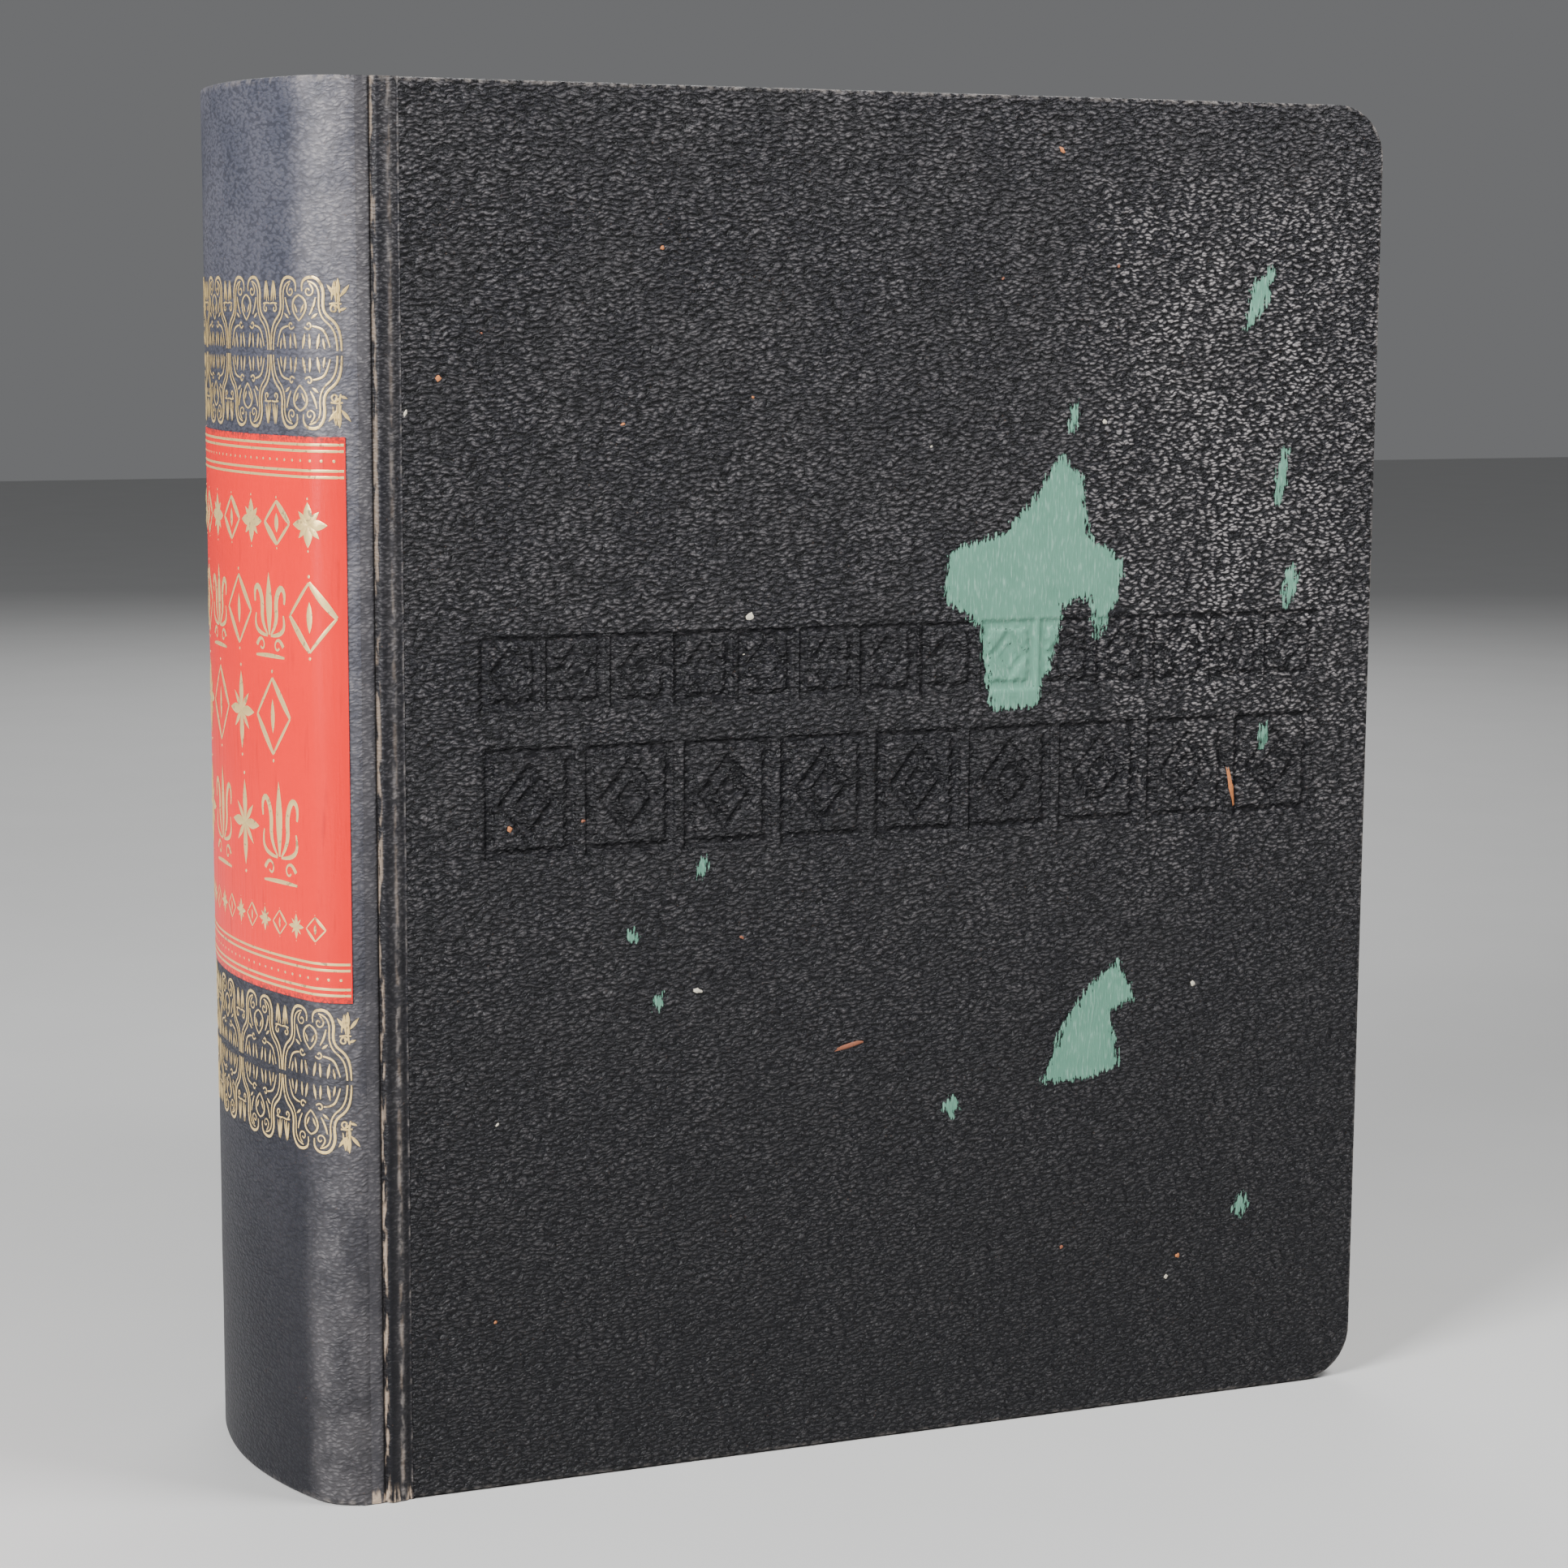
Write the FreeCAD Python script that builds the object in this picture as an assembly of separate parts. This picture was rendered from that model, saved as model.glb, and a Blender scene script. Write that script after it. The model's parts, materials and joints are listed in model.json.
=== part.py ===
"""Two-post stamp album binder, standing on its tail.

Frame: +X from the spine to the fore edge, +Y from the front cover to the back cover, +Z from tail to head.
The origin is the middle of the overall box's underside.  All sizes are millimetres.
A depth is a distance from the plane Y = 0.  Side pieces are drawn on the back side, where Y is the depth,
and on_side() mirrors them for the front.
"""
import FreeCAD, Part
import math
import os

# ---- driving dimensions -------------------------------------------------------------------------------
HEIGHT = 298.5
FORE_EDGE_X = 130.0
COVER_DEPTH = 45.0
COVER_HINGE_EDGE_X = -101.8
CORNER_RADIUS = 12.0
SKIN = 0.5
BOARD = 3.0
TURN_IN = 15.0
TURN_IN_THICKNESS = 0.4

CROWN_CENTRE_X = -37.8
CROWN_RADIUS = 92.0
SHOULDER_RADIUS = 11.0
SHOULDER_CENTRE_DEPTH = 34.0
CREASE_RADIUS = 1.6
SPINE_SKIN = 0.6
SPINE_BOARD = 2.4
SPINE_LINING = 0.4
SPINE_TURN_IN = 8.0
LIP_OUTER_DEPTH = 42.2
LIP_INNER_DEPTH = 40.0

LABEL_THICKNESS = 0.2
LABEL_HALF_ARC = 50.0
LABEL_BOTTOM_Z = 108.9
LABEL_TOP_Z = 226.2

PIVOT_X = -106.2
PIVOT_DEPTH = 44.0
KNUCKLE_RADIUS = 1.3
PIN_RADIUS = 0.6
PIN_CLEARANCE = 0.05
KNUCKLE_COUNT = 11
KNUCKLE_GAP = 0.3
HINGE_MARGIN = 12.0
HINGE_SHEET = 0.8
COVER_LEAF_END_X = -82.0
TURNING_GAP = 0.35

STRIP_INNER_DEPTH = 36.8
STRIP_THICKNESS = 1.2
STRIP_EDGE_X = -88.0
STRIP_MARGIN = 8.0

RIVET_X = -98.4
RIVET_SHANK_RADIUS = 1.25
RIVET_HEAD_RADIUS = 2.4
RIVET_HEAD = 0.6
LEAF_SLOT_RELIEF = 0.45
LEAF_SLOT_FIT = 0.05
LEAF_SLOT_END_GAP = 0.5
RIVET_COUNT = 5
RIVET_END_MARGIN = 30.0

LINING_THICKNESS = 0.3
LINING_START_X = -95.0
LINING_MARGIN = 6.0

POST_X = -99.0
POST_SPACING = 210.0
POST_RADIUS = 2.5
POST_GROOVE_RADIUS = 1.8
POST_NOSE_DEPTH = 40.2
POST_HEAD_RADIUS = 4.5
POST_HEAD = 1.2
POST_HOLE_RADIUS = 2.8
STRIP_HOLE_RADIUS = 2.6

SLIDE_LEFT_X = -105.5
SLIDE_RIGHT_X = -92.5
SLIDE_BOTTOM_Z = 32.0
SLIDE_TOP_Z = 262.0
SLIDE_THICKNESS = 0.8
SLIDE_CLEARANCE = 0.3
SLIDE_TRAVEL = 6.0
KEYHOLE_RADIUS = 2.9
KEYHOLE_SLOT_HALF = 2.1
LUG_HALF = 2.0
LUG_DEPTH = 40.3
STOP_LUG_Z = 281.0
STOP_LUG = 1.0
TAB_HALF_WIDTH = 4.0
TAB_HALF_HEIGHT = 10.0
TAB_GROOVE = 0.5
TAB_GROOVE_PITCH = 3.0
GUIDE_GAP = 0.3
GUIDE_SHEET = 0.6
GUIDE_HALF_HEIGHT = 4.0
GUIDE_HEIGHTS = (66.0, 112.0, 186.0, 232.0)
WIRE_RADIUS = 0.2
COIL_RADIUS = 0.75
COIL_TURNS = 12

PAGE_LEFT_X = -112.0
PAGE_RIGHT_X = 123.0
PAGE_BOTTOM_Z = 6.0
PAGE_TOP_Z = 292.0
SECTION_COUNT = 8
BOUND_DEPTH = 36.3
FREE_DEPTH = 39.6
FLARE_START_X = -82.0
FLARE_END_X = -60.0
STUB_EDGE_X = -84.0
TURNING_CLEARANCE = 0.3
STUB_CREASE_GAP = 0.9
SECTION_CREASE_GAP = 0.8

LEAF_THICKNESS = 0.4
LEAF_STUB_DEPTH = 36.35
LEAF_HINGE_DEPTH = 36.6
LEAF_FREE_DEPTH = 40.1
LEAF_RIGHT_X = 121.0

# ---- derived dimensions -------------------------------------------------------------------------------
BOARD_OUTER_DEPTH = COVER_DEPTH - SKIN
BOARD_INNER_DEPTH = BOARD_OUTER_DEPTH - BOARD
TURN_IN_DEPTH = BOARD_INNER_DEPTH - TURN_IN_THICKNESS
STRIP_OUTER_DEPTH = STRIP_INNER_DEPTH + STRIP_THICKNESS
SLIDE_INNER_DEPTH = STRIP_OUTER_DEPTH + SLIDE_CLEARANCE
SLIDE_OUTER_DEPTH = SLIDE_INNER_DEPTH + SLIDE_THICKNESS
LEAF_SLOT_OUTER = PIVOT_DEPTH - LEAF_SLOT_RELIEF
LEAF_SLOT_INNER = PIVOT_DEPTH - KNUCKLE_RADIUS - LEAF_SLOT_FIT
SHOULDER_CENTRE_X = CROWN_CENTRE_X - math.sqrt(
    (CROWN_RADIUS - SHOULDER_RADIUS) ** 2 - SHOULDER_CENTRE_DEPTH ** 2)
SHOULDER_PEAK_DEPTH = SHOULDER_CENTRE_DEPTH + SHOULDER_RADIUS
MID_Z = HEIGHT / 2
POST_HEIGHTS = (MID_Z - POST_SPACING / 2, MID_Z + POST_SPACING / 2)
RIVET_SPAN = HEIGHT - 2 * RIVET_END_MARGIN
RIVET_HEIGHTS = [RIVET_END_MARGIN + RIVET_SPAN * i / (RIVET_COUNT - 1) for i in range(RIVET_COUNT)]


def vec(x, y, z=0.0):
    return FreeCAD.Vector(x, y, z)


def box(x0, x1, y0, y1, z0, z1):
    return Part.makeBox(x1 - x0, y1 - y0, z1 - z0, vec(x0, y0, z0))


def post_cylinder(radius, z, y0, y1):
    """A cylinder along Y on a post's axis."""
    return Part.makeCylinder(radius, y1 - y0, vec(POST_X, y0, z), vec(0, 1, 0))


def line(a, b):
    return Part.makeLine(a, b)


def arc(centre, radius, start_deg, end_deg):
    """A circular arc in the plane Z = 0 between two directions."""
    points = []
    for angle in (start_deg, (start_deg + end_deg) / 2, end_deg):
        turn = math.radians(angle)
        points.append(centre + vec(radius * math.cos(turn), radius * math.sin(turn)))
    return Part.Arc(*points).toShape()


def extrude(edges, z0, z1):
    """The prism over a closed outline of edges."""
    outline = Part.Wire(Part.sortEdges(edges)[0])
    face = Part.Face(outline)
    face.translate(vec(0, 0, z0))
    return face.extrude(vec(0, 0, z1 - z0))


def prism(corners, z0, z1):
    """The prism over a polygon given as (x, y) corners."""
    points = [vec(x, y) for x, y in corners]
    edges = [line(points[i - 1], points[i]) for i in range(len(points))]
    return extrude(edges, z0, z1)


def on_side(shape, side):
    """The back side's shape as it is, or mirrored for the front side."""
    return shape if side == "back" else shape.mirror(vec(0, 0, 0), vec(0, 1, 0))


def save(name, shapes):
    """Write one sub-part, which may be a group of separate solids."""
    solids = [solid for shape in shapes for solid in shape.Solids]
    whole = solids[0] if len(solids) == 1 else Part.makeCompound(solids)
    whole.exportStep(os.path.join("parts", name + ".step"))
    print("%-20s solids %2d  volume %9.1f  valid %s" % (name, len(solids), whole.Volume, whole.isValid()))


# ---- spine --------------------------------------------------------------------------------------------
JOIN_DEG = math.degrees(math.atan2(SHOULDER_CENTRE_DEPTH, SHOULDER_CENTRE_X - CROWN_CENTRE_X))
PEAK_DEG = 90.0


def spine_path(offset, creased=False, end_deg=PEAK_DEG):
    """The spine's outline, offset inwards, from one shoulder round the crown to the other."""
    crown = vec(CROWN_CENTRE_X, 0)
    path = [arc(crown, CROWN_RADIUS - offset, JOIN_DEG, 360 - JOIN_DEG)]
    for sign in (1, -1):
        shoulder = vec(SHOULDER_CENTRE_X, sign * SHOULDER_CENTRE_DEPTH)
        path.append(arc(shoulder, SHOULDER_RADIUS - offset, sign * end_deg, sign * JOIN_DEG))
        if creased:
            crease = vec(SHOULDER_CENTRE_X, sign * (SHOULDER_PEAK_DEPTH - CREASE_RADIUS))
            path.append(arc(crease, CREASE_RADIUS - offset, 0, sign * PEAK_DEG))
    return path


def spine_end(offset, sign, creased, end_deg):
    """Where such an outline ends: low in the crease, or at a direction from the shoulder's centre."""
    if creased:
        return vec(SHOULDER_CENTRE_X + CREASE_RADIUS - offset, sign * (SHOULDER_PEAK_DEPTH - CREASE_RADIUS))
    turn = math.radians(end_deg)
    reach = SHOULDER_RADIUS - offset
    return vec(
        SHOULDER_CENTRE_X + reach * math.cos(turn), sign * (SHOULDER_CENTRE_DEPTH + reach * math.sin(turn)))


def spine_band(outer, inner, z0, z1, creased=False, end_deg=PEAK_DEG):
    """The layer of the spine between two offsets, ended on the shoulders or rolled into the creases."""
    edges = spine_path(outer, creased, end_deg) + spine_path(inner, creased, end_deg)
    for sign in (1, -1):
        edges.append(line(*[spine_end(offset, sign, creased, end_deg) for offset in (outer, inner)]))
    return extrude(edges, z0, z1)


def spine_board():
    """A formed board, with a lip at each shoulder that is glued to the hinge strip's flange."""
    inner = SPINE_SKIN + SPINE_BOARD
    edges = spine_path(SPINE_SKIN, creased=True) + spine_path(inner)
    lip_root_x = SHOULDER_CENTRE_X + CREASE_RADIUS - SPINE_SKIN
    lip_end_x = PIVOT_X - KNUCKLE_RADIUS
    for sign in (1, -1):
        corners = [
            (lip_root_x, SHOULDER_PEAK_DEPTH - CREASE_RADIUS),
            (lip_root_x, LIP_OUTER_DEPTH),
            (lip_end_x, LIP_OUTER_DEPTH),
            (lip_end_x, LIP_INNER_DEPTH),
            (SHOULDER_CENTRE_X, LIP_INNER_DEPTH),
            (SHOULDER_CENTRE_X, SHOULDER_PEAK_DEPTH - inner),
        ]
        points = [vec(x, sign * depth) for x, depth in corners]
        edges += [line(a, b) for a, b in zip(points, points[1:])]
    return extrude(edges, SKIN, HEIGHT - SKIN)


def spine_skin():
    """Leatherette over the board, turned in over its head and tail."""
    under = SPINE_SKIN + SPINE_BOARD
    skin = spine_band(0.0, SPINE_SKIN, 0.0, HEIGHT, creased=True)
    for z0, z1 in ((0.0, SKIN), (HEIGHT - SKIN, HEIGHT)):
        skin = skin.fuse(spine_band(SPINE_SKIN, under + SPINE_LINING, z0, z1))
    for z0, z1 in ((SKIN, SPINE_TURN_IN), (HEIGHT - SPINE_TURN_IN, HEIGHT - SKIN)):
        skin = skin.fuse(spine_band(under, under + SPINE_LINING, z0, z1))
    return skin.removeSplitter()


def spine_label():
    """A thin panel wrapped on the crown and over most of both shoulders."""
    crown_half_arc = CROWN_RADIUS * math.radians(180 - JOIN_DEG)
    shoulder_deg = math.degrees((LABEL_HALF_ARC - crown_half_arc) / SHOULDER_RADIUS)
    return spine_band(-LABEL_THICKNESS, 0.0, LABEL_BOTTOM_Z, LABEL_TOP_Z, end_deg=JOIN_DEG - shoulder_deg)


def tangent_point(point, centre, radius, side):
    """Where a line from a point touches a circle, left (1) or right (-1) of the way to its centre."""
    way = centre - point
    direction = math.atan2(way.y, way.x) + side * math.asin(radius / way.Length)
    reach = math.sqrt(way.Length ** 2 - radius ** 2)
    return point + vec(reach * math.cos(direction), reach * math.sin(direction))


def joint_skin():
    """The flexible strip from the shoulder's crease, over the hinge knuckles, to the cover's edge."""
    pivot = vec(PIVOT_X, PIVOT_DEPTH)
    crease_depth = SHOULDER_PEAK_DEPTH - CREASE_RADIUS
    outer_start = vec(SHOULDER_CENTRE_X + CREASE_RADIUS, crease_depth)
    root_x = SHOULDER_CENTRE_X + CREASE_RADIUS - SPINE_SKIN
    starts = (outer_start, vec(root_x, crease_depth - SKIN))
    ends = (vec(COVER_HINGE_EDGE_X, COVER_DEPTH), vec(COVER_HINGE_EDGE_X, BOARD_OUTER_DEPTH))
    inner_radius = KNUCKLE_RADIUS + 0.05
    edges = [line(ends[0], ends[1])]
    for start, end, radius in zip(starts, ends, (inner_radius + SKIN, inner_radius)):
        first = tangent_point(start, pivot, radius, 1)
        last = tangent_point(end, pivot, radius, -1)
        edges += [line(start, first), line(last, end)]
        edges.append(Part.Arc(first, pivot + vec(0, radius), last).toShape())
    corner = vec(root_x, crease_depth)
    edges += [line(starts[0], corner), line(corner, starts[1])]
    return extrude(edges, 0.0, HEIGHT)


# ---- hinges -------------------------------------------------------------------------------------------
def knuckle_spans(first):
    """The heights of every second knuckle, from knuckle number first."""
    pitch = (HEIGHT - 2 * HINGE_MARGIN) / KNUCKLE_COUNT
    spans = []
    for i in range(first, KNUCKLE_COUNT, 2):
        start = HINGE_MARGIN + i * pitch
        spans.append((start + KNUCKLE_GAP / 2, start + pitch - KNUCKLE_GAP / 2))
    return spans


def with_knuckles(sheet, first, tab_of):
    """A sheet with its knuckles: each has a tab that joins it to the sheet, and one bore runs through all."""
    for z0, z1 in knuckle_spans(first):
        barrel = Part.makeCylinder(KNUCKLE_RADIUS, z1 - z0, vec(PIVOT_X, PIVOT_DEPTH, z0))
        sheet = sheet.fuse([barrel, tab_of(z0, z1)])
    bore = Part.makeCylinder(PIN_RADIUS + PIN_CLEARANCE, HEIGHT, vec(PIVOT_X, PIVOT_DEPTH, 0))
    return sheet.cut(bore).removeSplitter()


def hinge_strip():
    """The binding strip: a plate over the pages, a flange beside them, and knuckles at the flange's edge."""
    x0 = PIVOT_X - KNUCKLE_RADIUS
    x1 = x0 + HINGE_SHEET
    flange_depth = PIVOT_DEPTH - KNUCKLE_RADIUS - TURNING_GAP
    z0, z1 = STRIP_MARGIN, HEIGHT - STRIP_MARGIN
    plate = box(x0, STRIP_EDGE_X, STRIP_INNER_DEPTH, STRIP_OUTER_DEPTH, z0, z1)
    flange = box(x0, x1, STRIP_INNER_DEPTH, flange_depth, z0, z1)
    holes = [post_cylinder(STRIP_HOLE_RADIUS, z, STRIP_INNER_DEPTH, STRIP_OUTER_DEPTH) for z in POST_HEIGHTS]

    def tab_of(low, high):
        return box(x0, x1, flange_depth, PIVOT_DEPTH, low, high)

    return with_knuckles(plate.fuse(flange).cut(holes), 0, tab_of)


def hinge_leaf():
    """The cover's leaf, which lies in the board's slot."""
    inner = PIVOT_DEPTH - KNUCKLE_RADIUS
    outer = inner + HINGE_SHEET
    start_x = PIVOT_X + KNUCKLE_RADIUS + TURNING_GAP
    z0, z1 = HINGE_MARGIN, HEIGHT - HINGE_MARGIN
    sheet = box(start_x, COVER_LEAF_END_X, inner, outer, z0, z1)
    hole_radius = RIVET_SHANK_RADIUS + PIN_CLEARANCE
    for z in RIVET_HEIGHTS:
        sheet = sheet.cut(Part.makeCylinder(hole_radius, HINGE_SHEET, vec(RIVET_X, inner, z), vec(0, 1, 0)))

    def tab_of(low, high):
        return box(PIVOT_X, start_x, inner, outer, low, high)

    return with_knuckles(sheet, 1, tab_of)


def hinge_pin():
    overrun = 0.5
    length = HEIGHT - 2 * HINGE_MARGIN + 2 * overrun
    return Part.makeCylinder(PIN_RADIUS, length, vec(PIVOT_X, PIVOT_DEPTH, HINGE_MARGIN - overrun))


def leaf_rivets():
    """Rivets from the cover leaf through the inner half of the board, headed inside the cover."""
    rivets = []
    outer = PIVOT_DEPTH - KNUCKLE_RADIUS + HINGE_SHEET
    for z in RIVET_HEIGHTS:
        foot = vec(RIVET_X, BOARD_INNER_DEPTH, z)
        shank = Part.makeCylinder(RIVET_SHANK_RADIUS, outer - BOARD_INNER_DEPTH, foot, vec(0, 1, 0))
        head = Part.makeCone(RIVET_HEAD_RADIUS, RIVET_SHANK_RADIUS, RIVET_HEAD, foot, vec(0, -1, 0))
        rivets.append(shank.fuse(head))
    return rivets


# ---- covers -------------------------------------------------------------------------------------------
def cover_plate(depth0, depth1, inset):
    """A plate of the cover's outline, drawn in by inset on its three free edges."""
    plate = box(COVER_HINGE_EDGE_X, FORE_EDGE_X - inset, depth0, depth1, inset, HEIGHT - inset)
    corners = [
        edge for edge in plate.Edges
        if abs(edge.Length - (depth1 - depth0)) < 0.001 and edge.CenterOfMass.x > 0
    ]
    return plate.makeFillet(CORNER_RADIUS - inset, corners)


def cover_board():
    board = cover_plate(BOARD_INNER_DEPTH, BOARD_OUTER_DEPTH, SKIN)
    slot_z = HINGE_MARGIN - LEAF_SLOT_END_GAP
    slot = box(
        COVER_HINGE_EDGE_X, COVER_LEAF_END_X + TURNING_GAP, LEAF_SLOT_INNER, LEAF_SLOT_OUTER,
        slot_z, HEIGHT - slot_z)
    board = board.cut(slot)
    hole_radius = RIVET_SHANK_RADIUS + PIN_CLEARANCE
    hole_depth = LEAF_SLOT_INNER - BOARD_INNER_DEPTH
    for z in RIVET_HEIGHTS:
        start = vec(RIVET_X, BOARD_INNER_DEPTH, z)
        board = board.cut(Part.makeCylinder(hole_radius, hole_depth, start, vec(0, 1, 0)))
    return board


def cover_skin():
    """Leatherette over the board's outer face and three edges, turned in on the inner face."""
    skin = cover_plate(TURN_IN_DEPTH, COVER_DEPTH, 0.0)
    skin = skin.cut(cover_plate(BOARD_INNER_DEPTH, BOARD_OUTER_DEPTH, SKIN))
    window = box(
        COVER_HINGE_EDGE_X, FORE_EDGE_X - TURN_IN, TURN_IN_DEPTH, BOARD_INNER_DEPTH,
        TURN_IN, HEIGHT - TURN_IN)
    return skin.cut(window)


def cover_lining():
    """Paper pasted over the turned-in edges and into the window between them."""
    sheet = box(
        LINING_START_X, FORE_EDGE_X - LINING_MARGIN, TURN_IN_DEPTH - LINING_THICKNESS, TURN_IN_DEPTH,
        LINING_MARGIN, HEIGHT - LINING_MARGIN)
    pad = box(
        LINING_START_X, FORE_EDGE_X - TURN_IN, TURN_IN_DEPTH, BOARD_INNER_DEPTH, TURN_IN, HEIGHT - TURN_IN)
    return sheet.fuse(pad)


# ---- posts and lock -----------------------------------------------------------------------------------
def binding_post(z):
    """A post headed on the back strip, with a groove for the lock slide and a bevelled nose at the front."""
    groove_clearance = 0.2
    bevel = 0.4
    post = post_cylinder(POST_RADIUS, z, -POST_NOSE_DEPTH + bevel, STRIP_OUTER_DEPTH)
    nose = Part.makeCone(
        POST_RADIUS, POST_RADIUS - bevel, bevel, vec(POST_X, bevel - POST_NOSE_DEPTH, z), vec(0, -1, 0))
    head = Part.makeCone(
        POST_HEAD_RADIUS, POST_RADIUS, POST_HEAD, vec(POST_X, STRIP_OUTER_DEPTH, z), vec(0, 1, 0))
    front = -SLIDE_OUTER_DEPTH - groove_clearance
    back = -SLIDE_INNER_DEPTH + groove_clearance
    ring = post_cylinder(POST_RADIUS, z, front, back).cut(post_cylinder(POST_GROOVE_RADIUS, z, front, back))
    return post.fuse([nose, head]).cut(ring)


def lock_slide():
    """A flat bar whose two keyholes hold the front strip on the posts; it is pushed up to let go."""
    front, back = -SLIDE_OUTER_DEPTH, -SLIDE_INNER_DEPTH
    slide = box(SLIDE_LEFT_X, SLIDE_RIGHT_X, front, back, SLIDE_BOTTOM_Z, SLIDE_TOP_Z)
    for z in POST_HEIGHTS:
        slot = box(
            POST_X - KEYHOLE_SLOT_HALF, POST_X + KEYHOLE_SLOT_HALF, front, back, z - SLIDE_TRAVEL, z)
        slide = slide.cut([
            slot,
            post_cylinder(KEYHOLE_SLOT_HALF, z, front, back),
            post_cylinder(KEYHOLE_RADIUS, z - SLIDE_TRAVEL, front, back),
        ])
    return slide.fuse(spring_lug(front, SLIDE_TOP_Z - SLIDE_THICKNESS))



def spring_lug(start_y, z):
    """A lug that stands out towards the cover, for the spring to press on."""
    return box(POST_X - LUG_HALF, POST_X + LUG_HALF, -LUG_DEPTH, start_y, z, z + SLIDE_THICKNESS)


def lock_tab():
    """The thumb piece on the slide, with grip grooves across it."""
    left, right = POST_X - TAB_HALF_WIDTH, POST_X + TAB_HALF_WIDTH
    tab = box(
        left, right, -LUG_DEPTH, -SLIDE_OUTER_DEPTH, MID_Z - TAB_HALF_HEIGHT, MID_Z + TAB_HALF_HEIGHT)
    for i in range(-2, 3):
        z = MID_Z + i * TAB_GROOVE_PITCH
        tab = tab.cut(box(
            left, right, -LUG_DEPTH, -LUG_DEPTH + TAB_GROOVE, z - TAB_GROOVE, z + TAB_GROOVE))
    return tab


def lock_guides():
    """Four bridges over the slide, and the lug that the spring's upper end rests on."""
    left, right = SLIDE_LEFT_X - GUIDE_GAP, SLIDE_RIGHT_X + GUIDE_GAP
    under = SLIDE_OUTER_DEPTH + GUIDE_GAP
    guides = []
    for z in GUIDE_HEIGHTS:
        low, high = z - GUIDE_HALF_HEIGHT, z + GUIDE_HALF_HEIGHT
        bridge = box(
            left - GUIDE_SHEET, right + GUIDE_SHEET, -under - GUIDE_SHEET, -STRIP_OUTER_DEPTH, low, high)
        guides.append(bridge.cut(box(left, right, -under, -STRIP_OUTER_DEPTH, low, high)))
    guides.append(box(
        POST_X - LUG_HALF, POST_X + LUG_HALF, -LUG_DEPTH, -STRIP_OUTER_DEPTH,
        STOP_LUG_Z, STOP_LUG_Z + STOP_LUG))
    return guides


def lock_spring():
    """A round-wire compression spring between the slide's lug and the stop lug."""
    start = SLIDE_TOP_Z + WIRE_RADIUS
    height = STOP_LUG_Z - SLIDE_TOP_Z - 2 * WIRE_RADIUS
    centre = vec(POST_X, -(LUG_DEPTH + SLIDE_INNER_DEPTH) / 2, start)
    helix = Part.makeHelix(height / COIL_TURNS, height, COIL_RADIUS)
    section = Part.Wire(Part.makeCircle(WIRE_RADIUS, vec(COIL_RADIUS, 0, 0), vec(0, 1, 0)))
    spring = Part.Wire(helix.Edges).makePipeShell([section], True, True)
    spring.translate(centre)
    return spring


# ---- pages --------------------------------------------------------------------------------------------
def punched(shape):
    """A page shape with its two post holes."""
    holes = [post_cylinder(POST_HOLE_RADIUS, z, -COVER_DEPTH, COVER_DEPTH) for z in POST_HEIGHTS]
    return shape.cut(holes)


def section_bounds(number):
    """The Y of a boundary between sections, where the pages are bound and where they are free."""
    share = 2.0 * number / SECTION_COUNT - 1.0
    return share * BOUND_DEPTH, share * FREE_DEPTH


def page_outline(left_x, number, clearance=0.0):
    """The outline of one section of pages, from left_x to the fore edge."""
    bound0, free0 = section_bounds(number - 1)
    bound1, free1 = section_bounds(number)
    bound1 -= clearance
    free1 -= clearance
    return [
        (left_x, bound0), (FLARE_START_X, bound0), (FLARE_END_X, free0), (PAGE_RIGHT_X, free0),
        (PAGE_RIGHT_X, free1), (FLARE_END_X, free1), (FLARE_START_X, bound1), (left_x, bound1)]


def page_section(number):
    return punched(prism(page_outline(PAGE_LEFT_X, number), PAGE_BOTTOM_Z, PAGE_TOP_Z))


def turning_section():
    """The first section's free part, which turns over with the cover."""
    left_x = STUB_EDGE_X + SECTION_CREASE_GAP
    return prism(page_outline(left_x, 1, TURNING_CLEARANCE), PAGE_BOTTOM_Z, PAGE_TOP_Z)


def first_section_stub():
    """The first section's bound part."""
    bound0, bound1 = section_bounds(0)[0], section_bounds(1)[0]
    return punched(box(PAGE_LEFT_X, STUB_EDGE_X, bound0, bound1, PAGE_BOTTOM_Z, PAGE_TOP_Z))


def leaf_stub():
    """The bound part of the title leaf or end leaf."""
    stub = box(
        PAGE_LEFT_X, STUB_EDGE_X - STUB_CREASE_GAP, LEAF_STUB_DEPTH, LEAF_STUB_DEPTH + LEAF_THICKNESS,
        PAGE_BOTTOM_Z, PAGE_TOP_Z)
    return punched(stub)


def turning_leaf():
    """The free part of the title leaf or end leaf, which follows the swell of the pages."""
    half = LEAF_THICKNESS / 2
    left_x = STUB_EDGE_X + TURNING_CLEARANCE
    corners = [(left_x, LEAF_HINGE_DEPTH), (FLARE_END_X, LEAF_FREE_DEPTH), (LEAF_RIGHT_X, LEAF_FREE_DEPTH)]
    outline = [(x, depth - half) for x, depth in corners]
    outline += [(x, depth + half) for x, depth in reversed(corners)]
    return prism(outline, PAGE_BOTTOM_Z + 1.0, PAGE_TOP_Z - 1.0)


# ---- assembly -----------------------------------------------------------------------------------------
os.makedirs("parts", exist_ok=True)

under_board = SPINE_SKIN + SPINE_BOARD
save("spine_board", [spine_board()])
save("spine_skin", [spine_skin()])
save("spine_lining", [
    spine_band(under_board, under_board + SPINE_LINING, SPINE_TURN_IN, HEIGHT - SPINE_TURN_IN)])
save("spine_label", [spine_label()])

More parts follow.
